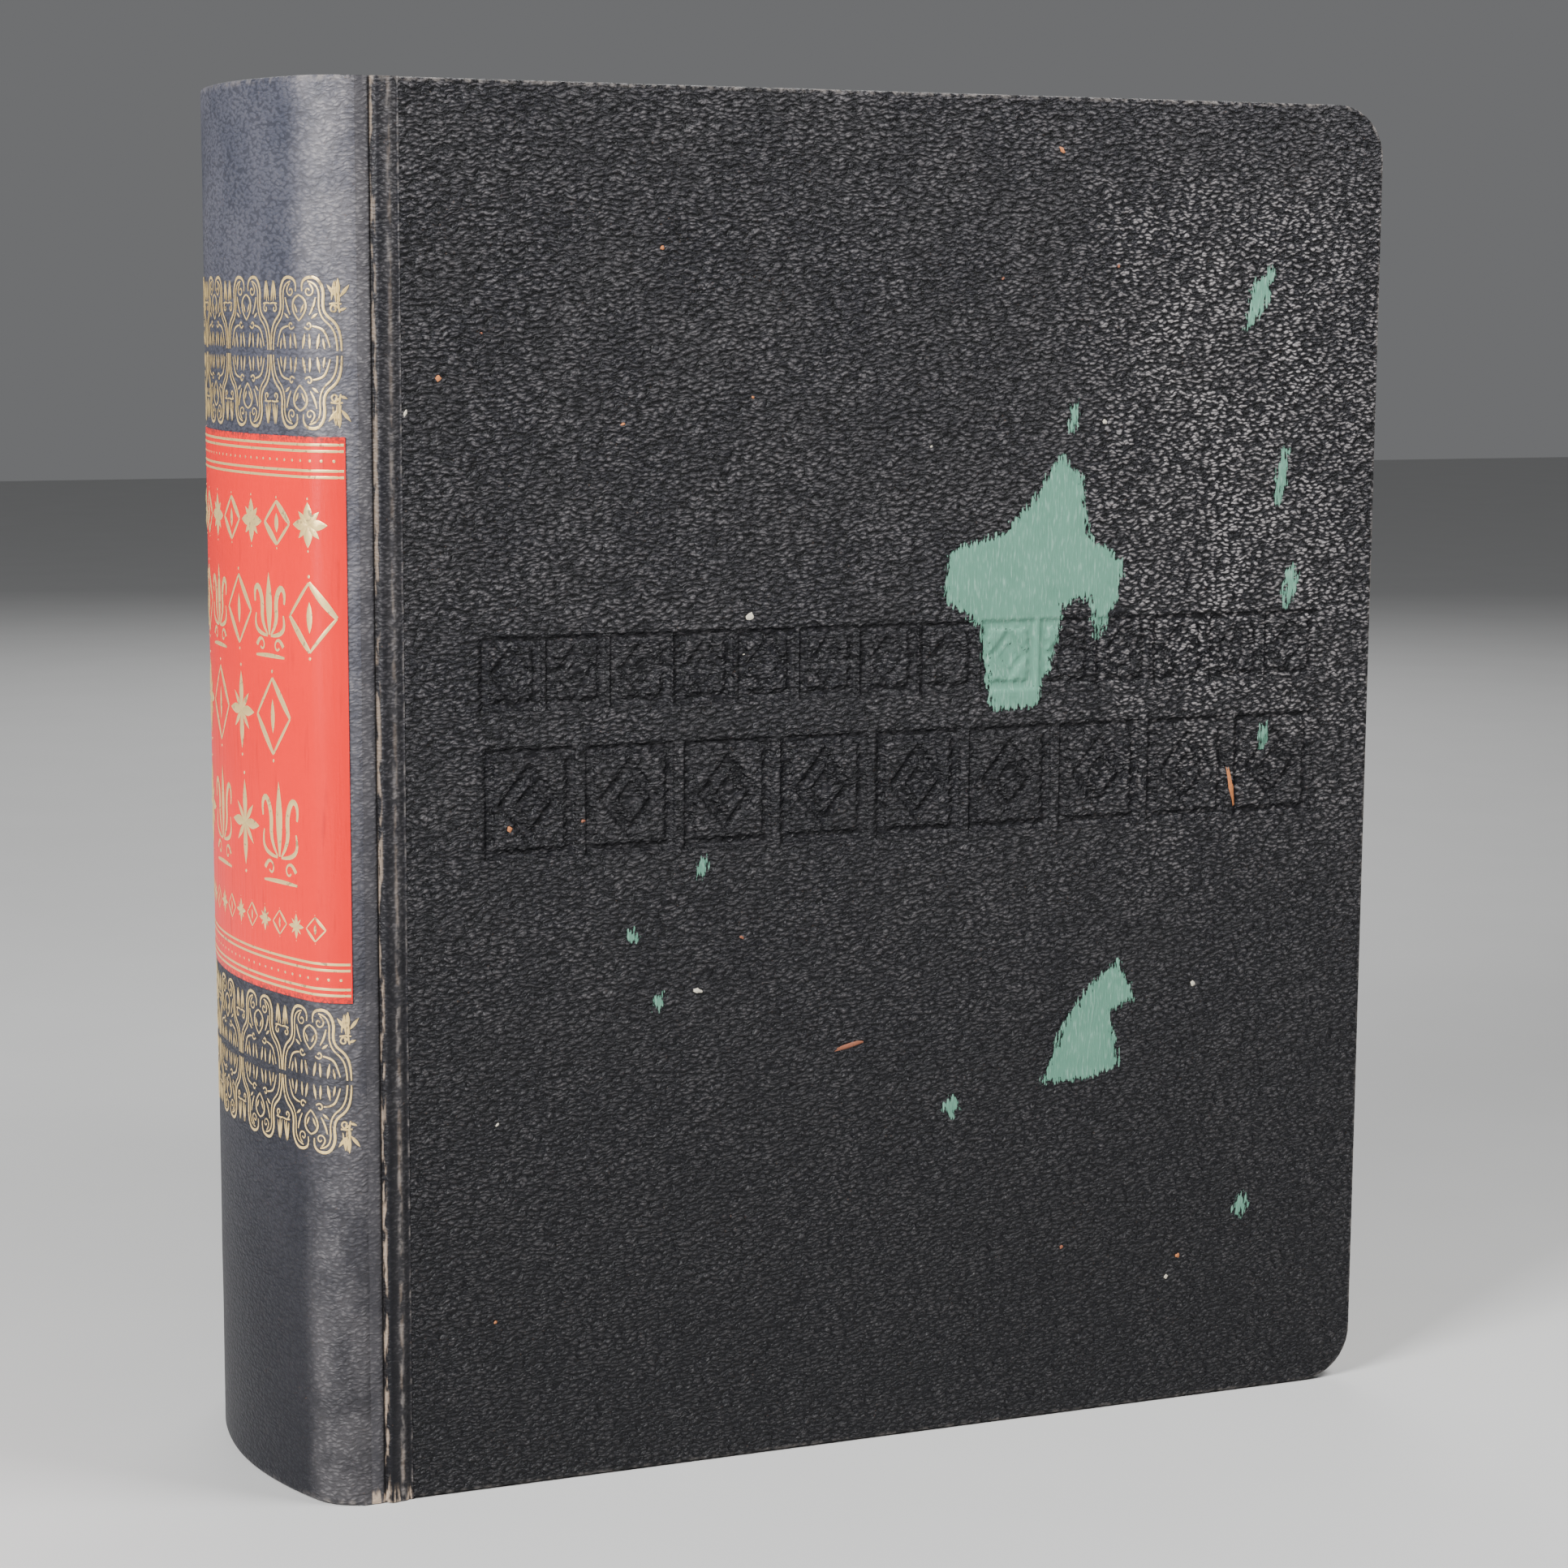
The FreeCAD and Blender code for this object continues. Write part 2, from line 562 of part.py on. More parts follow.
for side in ("front", "back"):
    save(side + "_joint_skin", [on_side(joint_skin(), side)])
    save(side + "_hinge_strip", [on_side(hinge_strip(), side)])
    save(side + "_hinge_pin", [on_side(hinge_pin(), side)])
    save(side + "_hinge_leaf", [on_side(hinge_leaf(), side)])
    save(side + "_leaf_rivets", [on_side(rivet, side) for rivet in leaf_rivets()])
    save(side + "_board", [on_side(cover_board(), side)])
    save(side + "_cover_skin", [on_side(cover_skin(), side)])
    save(side + "_lining", [on_side(cover_lining(), side)])

for name, z in zip(("post_lower", "post_upper"), POST_HEIGHTS):
    save(name, [binding_post(z)])
save("lock_slide", [lock_slide()])
save("lock_tab", [lock_tab()])
save("lock_guides", lock_guides())
save("lock_spring", [lock_spring()])

save("page_section_1", [turning_section()])
save("page_section_1_stub", [first_section_stub()])
for number in range(2, SECTION_COUNT + 1):
    save("page_section_%d" % number, [page_section(number)])
save("title_leaf", [on_side(turning_leaf(), "front")])
save("title_leaf_stub", [on_side(leaf_stub(), "front")])
save("end_leaf", [on_side(turning_leaf(), "back")])
save("end_leaf_stub", [on_side(leaf_stub(), "back")])
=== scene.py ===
import bpy
import json
import math
import random
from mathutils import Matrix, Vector, noise


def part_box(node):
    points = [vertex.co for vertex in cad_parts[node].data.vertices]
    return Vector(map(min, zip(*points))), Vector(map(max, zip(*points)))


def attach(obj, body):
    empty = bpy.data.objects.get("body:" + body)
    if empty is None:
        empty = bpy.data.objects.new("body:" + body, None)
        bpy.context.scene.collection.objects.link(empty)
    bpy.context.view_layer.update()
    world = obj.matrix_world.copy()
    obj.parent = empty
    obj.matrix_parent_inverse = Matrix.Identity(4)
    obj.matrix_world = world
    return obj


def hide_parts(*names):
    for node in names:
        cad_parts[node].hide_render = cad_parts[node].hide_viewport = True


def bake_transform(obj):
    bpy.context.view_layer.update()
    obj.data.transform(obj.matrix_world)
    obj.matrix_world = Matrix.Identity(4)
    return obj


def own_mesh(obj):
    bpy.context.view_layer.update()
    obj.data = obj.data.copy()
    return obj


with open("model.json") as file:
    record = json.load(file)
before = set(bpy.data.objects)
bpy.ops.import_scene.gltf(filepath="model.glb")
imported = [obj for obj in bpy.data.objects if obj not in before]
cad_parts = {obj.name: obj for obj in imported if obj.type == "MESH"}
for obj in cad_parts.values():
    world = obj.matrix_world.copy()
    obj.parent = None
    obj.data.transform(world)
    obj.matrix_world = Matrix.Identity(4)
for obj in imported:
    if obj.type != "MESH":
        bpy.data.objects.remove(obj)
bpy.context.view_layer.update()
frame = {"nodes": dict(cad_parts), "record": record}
MM = 0.001

# ---- Hinge metal --------------------------------------------------------------------------------------
# Binding strips, piano-hinge leaves, pins, binding posts and the lock's slide and guides are nickel-plated
# sheet and bar.  They are pressed and drawn, so the brush lines run up the binding.


class Value:
    """One value in a material's tree. Arithmetic on it adds Math nodes."""

    def __init__(self, socket):
        self.socket = socket
        self.tree = socket.id_data

    def maths(self, operation, *others, flip=False):
        node = self.tree.nodes.new("ShaderNodeMath")
        node.operation = operation
        parts = [*others, self] if flip else [self, *others]
        for socket, part in zip(node.inputs, parts):
            join(self.tree, socket, part)
        return Value(node.outputs[0])

    def __add__(self, other):
        return self.maths("ADD", other)

    def __sub__(self, other):
        return self.maths("SUBTRACT", other)

    def __rsub__(self, other):
        return self.maths("SUBTRACT", other, flip=True)

    def __mul__(self, other):
        return self.maths("MULTIPLY", other)

    def __truediv__(self, other):
        return self.maths("DIVIDE", other)

    __radd__ = __add__
    __rmul__ = __mul__

    def between(self, low, high):
        """0 below low and 1 above high, smooth in between."""
        node = self.tree.nodes.new("ShaderNodeMapRange")
        node.interpolation_type = "SMOOTHSTEP"
        for key, part in (("Value", self), ("From Min", low), ("From Max", high)):
            join(self.tree, node.inputs[key], part)
        return Value(node.outputs[0])


def join(tree, socket, part):
    """Put a value or a link on a socket."""
    if isinstance(part, Value):
        tree.links.new(part.socket, socket)
    else:
        socket.default_value = part


class Finish:
    """A material being mixed."""

    def __init__(self, name):
        self.material = bpy.data.materials.new(name)
        self.material.use_nodes = True
        self.tree = self.material.node_tree
        self.shader = self.tree.nodes["Principled BSDF"]

    def node(self, kind, settings=None, inputs=None, output=0):
        """Add a node: its settings first, then the values or links of its sockets."""
        node = self.tree.nodes.new("ShaderNode" + kind)
        for key, value in (settings or {}).items():
            setattr(node, key, value)
        for key, value in (inputs or {}).items():
            join(self.tree, node.inputs[key], value)
        return Value(node.outputs[output])

    def place(self, stretch=(1, 1, 1)):
        """Where a point is on the object, in millimetres times stretch."""
        point = self.node("TexCoord", output=3)
        scale = [1000 * part for part in stretch]
        return self.node("Mapping", {}, {"Vector": point, "Scale": scale})

    def grain(self, size, detail=2.0, stretch=(1, 1, 1)):
        """Soft noise from 0 to 1 whose lumps are size millimetres across."""
        where = self.place(stretch)
        return self.node("TexNoise", {}, {"Vector": where, "Scale": 1 / size, "Detail": detail})

    def mark(self, name):
        """A value painted on the mesh."""
        return self.node("Attribute", {"attribute_name": name}, output=2)

    def mix(self, share, first, second):
        """Two colours mixed."""
        ends = {0: share, 6: first, 7: second}
        return self.node("Mix", {"data_type": "RGBA"}, ends, output=2)

    def feed(self, **parts):
        """Put values, links or colours on the shader's sockets."""
        for key, part in parts.items():
            join(self.tree, self.shader.inputs[key.replace("_", " ")], part)

    def bump(self, height, millimetres, strength=1.0):
        """Relief of that height, on the Normal socket."""
        relief = {"Height": height, "Distance": millimetres * MM, "Strength": strength}
        self.feed(Normal=self.node("Bump", {}, relief))


def colour(red, green, blue):
    return (red, green, blue, 1.0)


def metal(name, base, dark, roughness, along):
    """Brushed or drawn metal, dulled in patches."""
    finish = Finish(name)
    lines = finish.grain(0.12, 3.0, along)
    dull = finish.grain(14.0, 4.0).between(0.42, 0.72)
    spots = finish.grain(1.1, 2.0).between(0.70, 0.78)
    finish.feed(Metallic=1.0)
    finish.feed(Base_Color=finish.mix(dull * 0.6 + spots * 0.4, base, dark))
    finish.feed(Roughness=lines * 0.18 + dull * 0.2 + roughness)
    finish.bump(lines, 0.01, 0.4)
    return finish.material


def dress(material, *nodes):
    """Give CAD nodes their material."""
    for name in nodes:
        slots = frame["nodes"][name].data.materials
        slots.clear()
        slots.append(material)


UPWARDS = (1, 1, 0.04)
nickel = metal("plated_nickel", colour(0.62, 0.61, 0.58), colour(0.30, 0.28, 0.25), 0.24, UPWARDS)
dress(nickel, "front_hinge_strip", "back_hinge_strip", "front_hinge_leaf", "back_hinge_leaf")
dress(nickel, "lock_slide", "lock_guides")
drawn_bar = metal("drawn_bar", colour(0.55, 0.54, 0.52), colour(0.24, 0.22, 0.2), 0.2, (1, 0.05, 1))
dress(drawn_bar, "post_lower", "post_upper", "front_hinge_pin", "back_hinge_pin")
brass = metal("turned_brass", colour(0.78, 0.55, 0.22), colour(0.36, 0.23, 0.1), 0.22, (1, 1, 1))
dress(brass, "front_leaf_rivets", "back_leaf_rivets", "lock_tab")

# ---- Lock spring --------------------------------------------------------------------------------------
# A small coil of drawn wire between the slide's lug and the stop lug on the strip.  It is wound, not
# pressed.  The real spring shortens as the thumb tab lifts the slide; this coil keeps its rest length.


def clear():
    """Nothing selected, so that an operator acts on the new piece alone."""
    if bpy.context.mode != "OBJECT":
        bpy.ops.object.mode_set(mode="OBJECT")
    bpy.ops.object.select_all(action="DESELECT")


def named(name, material):
    """The piece that was just added, named and given its material."""
    piece = bpy.context.object
    piece.name = name
    piece.data.name = name
    piece.data.materials.clear()
    piece.data.materials.append(material)
    return piece


def only(piece):
    clear()
    piece.select_set(True)
    bpy.context.view_layer.objects.active = piece


def modify(piece, kind, **settings):
    """Add a modifier and apply it at once."""
    only(piece)
    modifier = piece.modifiers.new(kind.title(), kind)
    for key, value in settings.items():
        setattr(modifier, key, value)
    bpy.ops.object.modifier_apply(modifier=modifier.name)


def edit(piece, selected="SELECT"):
    """Go into edit mode with everything selected, or nothing."""
    only(piece)
    bpy.ops.object.mode_set(mode="EDIT")
    bpy.ops.mesh.select_all(action=selected)


def leave_edit():
    bpy.ops.object.mode_set(mode="OBJECT")


def settle(piece):
    """Bring the piece's place into its mesh, close its seams and turn its faces outwards."""
    only(piece)
    bpy.ops.object.transform_apply(location=True, rotation=True, scale=True)
    edit(piece)
    bpy.ops.mesh.remove_doubles(threshold=0.002 * MM)
    bpy.ops.mesh.normals_make_consistent(inside=False)
    leave_edit()


def smooth(piece, degrees=35):
    only(piece)
    bpy.ops.object.shade_smooth_by_angle(angle=math.radians(degrees))


spring_low, spring_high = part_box("lock_spring")
WIRE_RADIUS = 0.2 * MM
SPRING_TURNS = 12
spring_middle = (spring_low + spring_high) / 2
coil_radius = (spring_high.x - spring_low.x) / 2 - WIRE_RADIUS
COIL_STEPS = 14
spring_length = spring_high.z - spring_low.z
spring_rise = (spring_length - 2 * WIRE_RADIUS) / SPRING_TURNS
clear()
bpy.ops.mesh.primitive_circle_add(
    vertices=8, radius=WIRE_RADIUS, location=(coil_radius, 0, 0), rotation=(math.pi / 2, 0, 0))
spring_wire = metal("spring_wire", colour(0.5, 0.5, 0.5), colour(0.25, 0.22, 0.2), 0.25, (1, 1, 1))
lock_coil = named("lock_spring_coil", spring_wire)
bpy.ops.object.transform_apply(location=True, rotation=True)
modify(
    lock_coil, "SCREW", axis="Z", screw_offset=spring_rise, iterations=SPRING_TURNS,
    steps=COIL_STEPS, render_steps=COIL_STEPS)
edit(lock_coil, "DESELECT")
bpy.ops.mesh.select_non_manifold()
bpy.ops.mesh.edge_face_add()
leave_edit()
lock_coil.location = (spring_middle.x, spring_middle.y, spring_low.z + WIRE_RADIUS)
settle(lock_coil)
smooth(lock_coil, 60)
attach(lock_coil, "root")
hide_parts("lock_spring")
joints = {joint["name"]: joint for joint in frame["record"]["behaviour"]["joints"]}
1 - joints["lock_travel"]["range_m"][1] / spring_length
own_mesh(lock_coil)

# ---- Boards and linings -------------------------------------------------------------------------------
# Pressed millboard for the covers and the spine's former.  The linings are dark paper with a fine
# printed comb pattern, pasted down inside the covers and the spine.

millboard = Finish("millboard")
fibres = millboard.grain(0.7, 4.0, (0.3, 1, 1))
millboard.feed(Base_Color=millboard.mix(fibres, colour(0.32, 0.25, 0.17), colour(0.52, 0.44, 0.33)))
millboard.feed(Roughness=0.85)
millboard.bump(fibres, 0.08)
dress(millboard.material, "spine_board", "front_board", "back_board")

lining = Finish("lining_paper")
swirl = lining.grain(22.0, 3.0)
comb = lining.node(
    "TexWave", {"wave_type": "BANDS", "bands_direction": "X", "wave_profile": "SIN"},
    {"Vector": lining.place(), "Scale": 0.05, "Distortion": 9.0, "Detail": 3.0, "Detail Scale": 0.6},
    output=1)
fleck = lining.grain(0.35, 3.0)
tone = lining.mix(comb.between(0.25, 0.8), colour(0.040, 0.050, 0.070), colour(0.085, 0.105, 0.125))
tone = lining.mix(swirl.between(0.55, 0.75) * 0.5, tone, colour(0.20, 0.19, 0.15))
lining.feed(Base_Color=tone)
lining.feed(Roughness=fleck * 0.15 + 0.5)
lining.bump(fleck, 0.03)
dress(lining.material, "spine_lining", "front_lining", "back_lining")

# ---- Spine leatherette --------------------------------------------------------------------------------
# Pebble-grained leatherette drawn over the formed board, rolled over the shoulders into the creases and
# turned in at head and tail.  Rubbing has greyed the shoulders and the edges; the shoulders' grey, brighter
# towards the top, is also a painted highlight, and the spine's tones are painted lighter than the cover's
# for the light that falls on it.

skin_low, skin_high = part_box("spine_skin")
HEIGHT = skin_high.z
CROWN = 92 * MM
SHOULDER = 11 * MM
CREASE = 1.6 * MM
crown_x = skin_low.x + CROWN
shoulder_y = skin_high.y - SHOULDER
shoulder_x = crown_x - math.sqrt((CROWN - SHOULDER) ** 2 - shoulder_y ** 2)
join_turn = math.atan2(shoulder_y, crown_x - shoulder_x)
crown_arc = CROWN * join_turn
shoulder_arc = crown_arc + SHOULDER * (math.pi / 2 - join_turn)
crease_arc = shoulder_arc + CREASE * math.pi / 2


def on_spine(across, height, lift=0.0):
    """A point on the spine. Across is the arc from the crown's middle line, positive towards the front."""
    reach = abs(across)
    if reach <= crown_arc:
        centre, radius, turn = (crown_x, 0.0), CROWN, reach / CROWN
    elif reach <= shoulder_arc:
        centre, radius = (shoulder_x, shoulder_y), SHOULDER
        turn = join_turn + (reach - crown_arc) / SHOULDER
    else:
        centre, radius = (shoulder_x, shoulder_y + SHOULDER - CREASE), CREASE
        turn = min(math.pi, math.pi / 2 + (reach - shoulder_arc) / CREASE)
    outwards = centre[1] + (radius + lift) * math.sin(turn)
    side = -1 if across > 0 else 1
    return Vector((centre[0] - (radius + lift) * math.cos(turn), side * outwards, height))


def rumple(point, size, amount):
    """A smooth, even-handed swell of the surface."""
    return amount * noise.noise(Vector(point) / size)


def paint(piece, name, value_of):
    """Mark every point of a mesh with a value for its material."""
    marks = piece.data.attributes.new(name, "FLOAT", "POINT")
    marks.data.foreach_set("value", [value_of(vertex.co) for vertex in piece.data.vertices])


def ramp(value, low, high):
    """0 below low and 1 above high, smooth in between."""
    share = min(1.0, max(0.0, (value - low) / (high - low)))
    return share * share * (3 - 2 * share)


def leather(name, dark, pale, rubbed, roughness, relief, contrast, fineness):
    """Pebbled leatherette with painted shade in its pits and painted highlights on its tops; rubbed grey, and
    partly a painted highlight, where 'rub_and_highlight' is painted; bare where 'wear' is.
    """
    finish = Finish(name)
    where = finish.place()
    drift = finish.node("TexNoise", {}, {"Vector": where, "Scale": 0.35, "Detail": 2.0}, output=1)
    slide = finish.node("VectorMath", {"operation": "MULTIPLY"}, {0: drift, 1: (1.3, 1.3, 1.9)})
    warped = finish.node("VectorMath", {"operation": "ADD"}, {0: where, 1: slide})
    wide_scale = [fineness * part for part in (0.46, 0.46, 1.0)]
    level = finish.node("Mapping", {}, {"Vector": warped, "Rotation": (0, 0.12, 0), "Scale": wide_scale})
    cell = finish.node(
        "TexVoronoi", {"feature": "SMOOTH_F1"}, {"Vector": level, "Scale": 1.0, "Smoothness": 0.3})
    seed_scale = [fineness * part for part in (1.3, 1.3, 2.1)]
    small = finish.node("Mapping", {}, {"Vector": warped, "Scale": seed_scale})
    seed = finish.node("TexVoronoi", {"feature": "F1"}, {"Vector": small, "Scale": 1.0})
    crease = finish.grain(0.25, 3.0)
    pebble = 1.0 - cell
    stamped = finish.mark("stamped")
    wall_shade = stamped * (1.0 - stamped) * 3.6
    height = (pebble + (1.0 - seed) * 0.3 + crease * 0.12) * (1.0 - stamped * 0.55)
    top = pebble.between(0.50, 0.80)
    pit_shade = 1.0 - pebble.between(0.30, 0.52)
    mottle = finish.grain(19.0, 5.0)
    patches = finish.grain(7.0, 5.0, (1, 1, 0.8)).between(0.38, 0.62)
    rub_and_highlight_tops = top * (0.85 * contrast) + (0.65 - 0.55 * contrast)
    rub_and_highlight = finish.mark("rub_and_highlight") * (patches * 0.5 + 0.4) * rub_and_highlight_tops
    wear = finish.mark("wear") * finish.grain(1.5, 4.0, (1, 1, 0.5)).between(0.44, 0.66)
    dust = finish.grain(0.6, 2.0).between(0.68, 0.73) * finish.grain(8.0, 2.0).between(0.46, 0.7)
    rise = Value(finish.node("SeparateXYZ", {}, {0: where}).socket.node.outputs[2])
    # Painted highlight: the tops of the pebbles are painted paler, as if light caught them.
    top_highlight = top * (patches * 0.3 + 0.3) * (1.0 - stamped * 0.6) * contrast
    tone = finish.mix(mottle.between(0.3, 0.72), dark, pale)
    tone = finish.mix(top_highlight, tone, colour(0.098, 0.092, 0.097))
    # Painted shade: the pits between the pebbles are painted near-black.
    tone = finish.mix(pit_shade * 0.8 * contrast, tone, colour(0.003, 0.003, 0.004))
    # Painted shade: the leatherette is painted darker towards the bottom of the book, where less light falls.
    tone = finish.mix((1.0 - rise.between(5, 225)) * 0.88, tone, colour(0.005, 0.005, 0.007))
    # Rubbed grey and, in part, painted highlight: this colour also paints the bright shoulder highlight and
    # the pale patch towards the cover's upper fore corner.
    tone = finish.mix(rub_and_highlight, tone, rubbed)
    tone = finish.mix(dust * 0.45, tone, colour(0.15, 0.085, 0.055))
    tone = finish.mix(wear, tone, colour(0.24, 0.215, 0.20))
    # Painted shade: the walls of the blind-stamped grooves are painted near-black.
    tone = finish.mix(wall_shade * 0.75, tone, colour(0.002, 0.002, 0.003))
    finish.feed(Base_Color=tone)
    finish.feed(Roughness=mottle * 0.1 + rub_and_highlight * 0.06 + wear * 0.25 - top * 0.06 + roughness)
    finish.feed(Specular_IOR_Level=0.23)
    finish.bump(height, relief)
    return finish


# Painted light: the spine's dark and pale tones are several times lighter than the cover's and the joint's,
# though all are one leatherette, for the light that falls on the spine.
spine_leather = leather(
    "spine_leatherette", dark=colour(0.047, 0.050, 0.069), pale=colour(0.076, 0.077, 0.098),
    rubbed=colour(0.30, 0.28, 0.285), roughness=0.44, relief=0.27, contrast=0.5, fineness=1.6)
SPINE_DEPTH = 3.1 * MM
SKIN_DEPTH = 0.6 * MM
across_steps = 96
up_steps = 190
clear()
bpy.ops.mesh.primitive_grid_add(x_subdivisions=across_steps, y_subdivisions=up_steps, size=1)
spine_cover = named("spine_leatherette", spine_leather.material)
depths = spine_cover.vertex_groups.new(name="depth")
for vertex in spine_cover.data.vertices:
    across = vertex.co.x * 2 * crease_arc
    height = (vertex.co.y + 0.5) * HEIGHT
    lift = rumple((across, 0, height), 17 * MM, 0.07 * MM) - 0.07 * MM
    vertex.co = on_spine(across, height, lift)
    thin = ramp(abs(across), shoulder_arc - 1.5 * MM, shoulder_arc)
    depths.add([vertex.index], 1 - thin * (1 - SKIN_DEPTH / SPINE_DEPTH), "REPLACE")
modify(spine_cover, "SOLIDIFY", thickness=SPINE_DEPTH, offset=-1, vertex_group="depth")


def select_edges(piece, test):
    """Select, in edit mode, the edges whose two ends pass the test."""
    edit(piece)
    bpy.ops.mesh.select_mode(type="EDGE")
    bpy.ops.mesh.select_all(action="DESELECT")
    leave_edit()
    points = piece.data.vertices
    for edge in piece.data.edges:
        edge.select = all(test(points[i].co) for i in edge.vertices)
    bpy.ops.object.mode_set(mode="EDIT")


def at_rim(point):
    end = min(point.z, HEIGHT - point.z)
    return end < 0.01 * MM and point.x < shoulder_x - 1.0 * MM


select_edges(spine_cover, at_rim)
bpy.ops.mesh.bevel(offset=0.75 * MM, segments=3)
leave_edit()


def spine_wear(point):
    """Rubbed at head and tail, most over the two shoulders."""
    end = min(point.z, HEIGHT - point.z)
    rim = 1 - ramp(end, 0.4 * MM, 1.6 * MM)
    shoulder = ramp(abs(point.y), shoulder_y, skin_high.y)
    return rim * (0.35 + 0.4 * shoulder)


def spine_rub_and_highlight(point):
    """The shoulders are rubbed grey from top to bottom, with a painted highlight that grows towards the top.
    """
    rolled = ramp(abs(point.y), shoulder_y + 1 * MM, shoulder_y + 7 * MM)
    return rolled * (0.45 + 0.4 * ramp(point.z, 120 * MM, 290 * MM))


paint(spine_cover, "wear", spine_wear)
paint(spine_cover, "rub_and_highlight", spine_rub_and_highlight)
smooth(spine_cover)
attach(spine_cover, "root")
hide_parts("spine_skin")

# ---- Cover leatherette --------------------------------------------------------------------------------
# Both covers: one piece of leatherette over the board, its fore corners rounded, its edges rolled over and
# turned in.  The front is blind-stamped with two rows of blank perforated stamps.

cover_low, cover_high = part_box("front_cover_skin")
CORNER = 12 * MM
FORE_RIM = [
    (1.1, 0.0), (0.62, 0.11), (0.28, 0.36), (0.07, 0.72), (0.0, 1.15), (0.0, 3.3), (0.12, 3.7), (0.45, 3.9),
    (2.0, 3.9)]
HINGE_RIM = [(0.0, 3.9), (0.0, 0.35), (0.12, 0.1), (0.4, 0.0)]


def stops(start, end, step):
    """Evenly spaced places from start to end, about a step apart."""
    count = max(1, round((end - start) / step))
    return [start + (end - start) * i / count for i in range(count)]


STAMP_GROOVE = 1.7 * MM
PERFORATION = 0.66 * MM
STAMP_DEPTH = 0.58 * MM
BOARD_SINK = 0.35 * MM
stamp_rows = [
    {"middle": 176.5 * MM, "half": (5.9 * MM, 6.9 * MM), "count": 14, "pitch": 2.36 * MM},
    {"middle": 149.0 * MM, "half": (9.2 * MM, 10.9 * MM), "count": 9, "pitch": 2.63 * MM},
]
ROW_START = -86 * MM
ROW_END = 116 * MM
STAMPED_FROM = 134 * MM
STAMPED_TO = 187 * MM


def stamp_outline(across, up, half, pitch):
    """Distance outside a stamp's perforated edge; negative inside."""
    inside = max(abs(across) - half[0], abs(up) - half[1])
    level = math.hypot(across - pitch * round(across / pitch), abs(up) - half[1])
    upright = math.hypot(abs(across) - half[0], up - pitch * round(up / pitch))
    return max(inside, PERFORATION - min(level, upright))


def pressed(point):
    """1 on the floor of the blind stamping, 0 outside it."""
    deepest = 0.0
    for row in stamp_rows:
        half, count = row["half"], row["count"]
        room = (ROW_END - ROW_START) / count
        if not (ROW_START < point.x < ROW_END and abs(point.z - row["middle"]) < half[1] + STAMP_GROOVE):
            continue
        across = (point.x - ROW_START) % room - room / 2
        up = point.z - row["middle"]
        line = abs(stamp_outline(across, up, half, row["pitch"]))
        lozenge = abs(across) / (half[0] * 0.62) + abs(up) / (half[1] * 0.66)
        ring = abs(lozenge - 1) * half[0] * 0.42
        heart = max(0.0, lozenge - 0.32) * half[0] * 0.42
        nearest = min(line, ring, heart)
        deepest = max(deepest, 1 - ramp(nearest, STAMP_GROOVE * 0.3, STAMP_GROOVE * 0.62))
    return deepest


def cover_relief(point, side):
    """How far the leatherette sinks below the cover's plane."""
    sink = 0.06 * MM + rumple(point, 26 * MM, 0.06 * MM)
    if side == "front":
        fold = 1 - ramp(abs(point.x - 116 * MM), 0.2 * MM, 0.9 * MM)
        fold *= ramp(point.z, 130 * MM, 150 * MM) * (1 - ramp(point.z, 254 * MM, 266 * MM))
        sink += max(STAMP_DEPTH * pressed(point), 0.10 * MM * fold)
    return max(0.0, sink)


def edge_distance(point, radius=CORNER):
    """How far a point is inside the cover's outline, its fore corners rounded."""
    corner_x = point.x - (cover_high.x - radius)
    corner_z = abs(point.z - HEIGHT / 2) - (HEIGHT / 2 - radius)
    if corner_x > 0 and corner_z > 0:
        return radius - math.hypot(corner_x, corner_z)
    return min(point.z, HEIGHT - point.z, cover_high.x - point.x)


def cover_wear(point):
    """The outer arris is rubbed bare in places, most at the fore corners."""
    nearness = max(0.0, point.x - cover_high.x + CORNER)
    nearness += max(0.0, abs(point.z - HEIGHT / 2) - HEIGHT / 2 + CORNER)
    down = skin_high.y - abs(point.y)
    arris = (1 - ramp(edge_distance(point), 0.2 * MM, 1.1 * MM)) * (1 - ramp(down, 0.9 * MM, 2.0 * MM))
    return arris * (0.5 + 0.4 * ramp(nearness, 0.0, 20 * MM))


def front_rub_and_highlight(point):
    """A broad pale patch towards the upper fore corner, partly rub and partly a painted highlight, and light
    handling all over.
    """
    across = ramp(point.x, 40 * MM, 84 * MM) * (1 - 0.35 * ramp(point.x, 112 * MM, 119 * MM))
    up = ramp(point.z, 105 * MM, 205 * MM) * (1 - ramp(point.z, 262 * MM, 293 * MM))
    return 0.06 + 0.98 * across * up


def back_scuff(point):
    middle = math.hypot(point.x - 20 * MM, point.z - HEIGHT / 2)
    return 0.08 + 0.25 * (1 - ramp(middle, 40 * MM, 120 * MM))


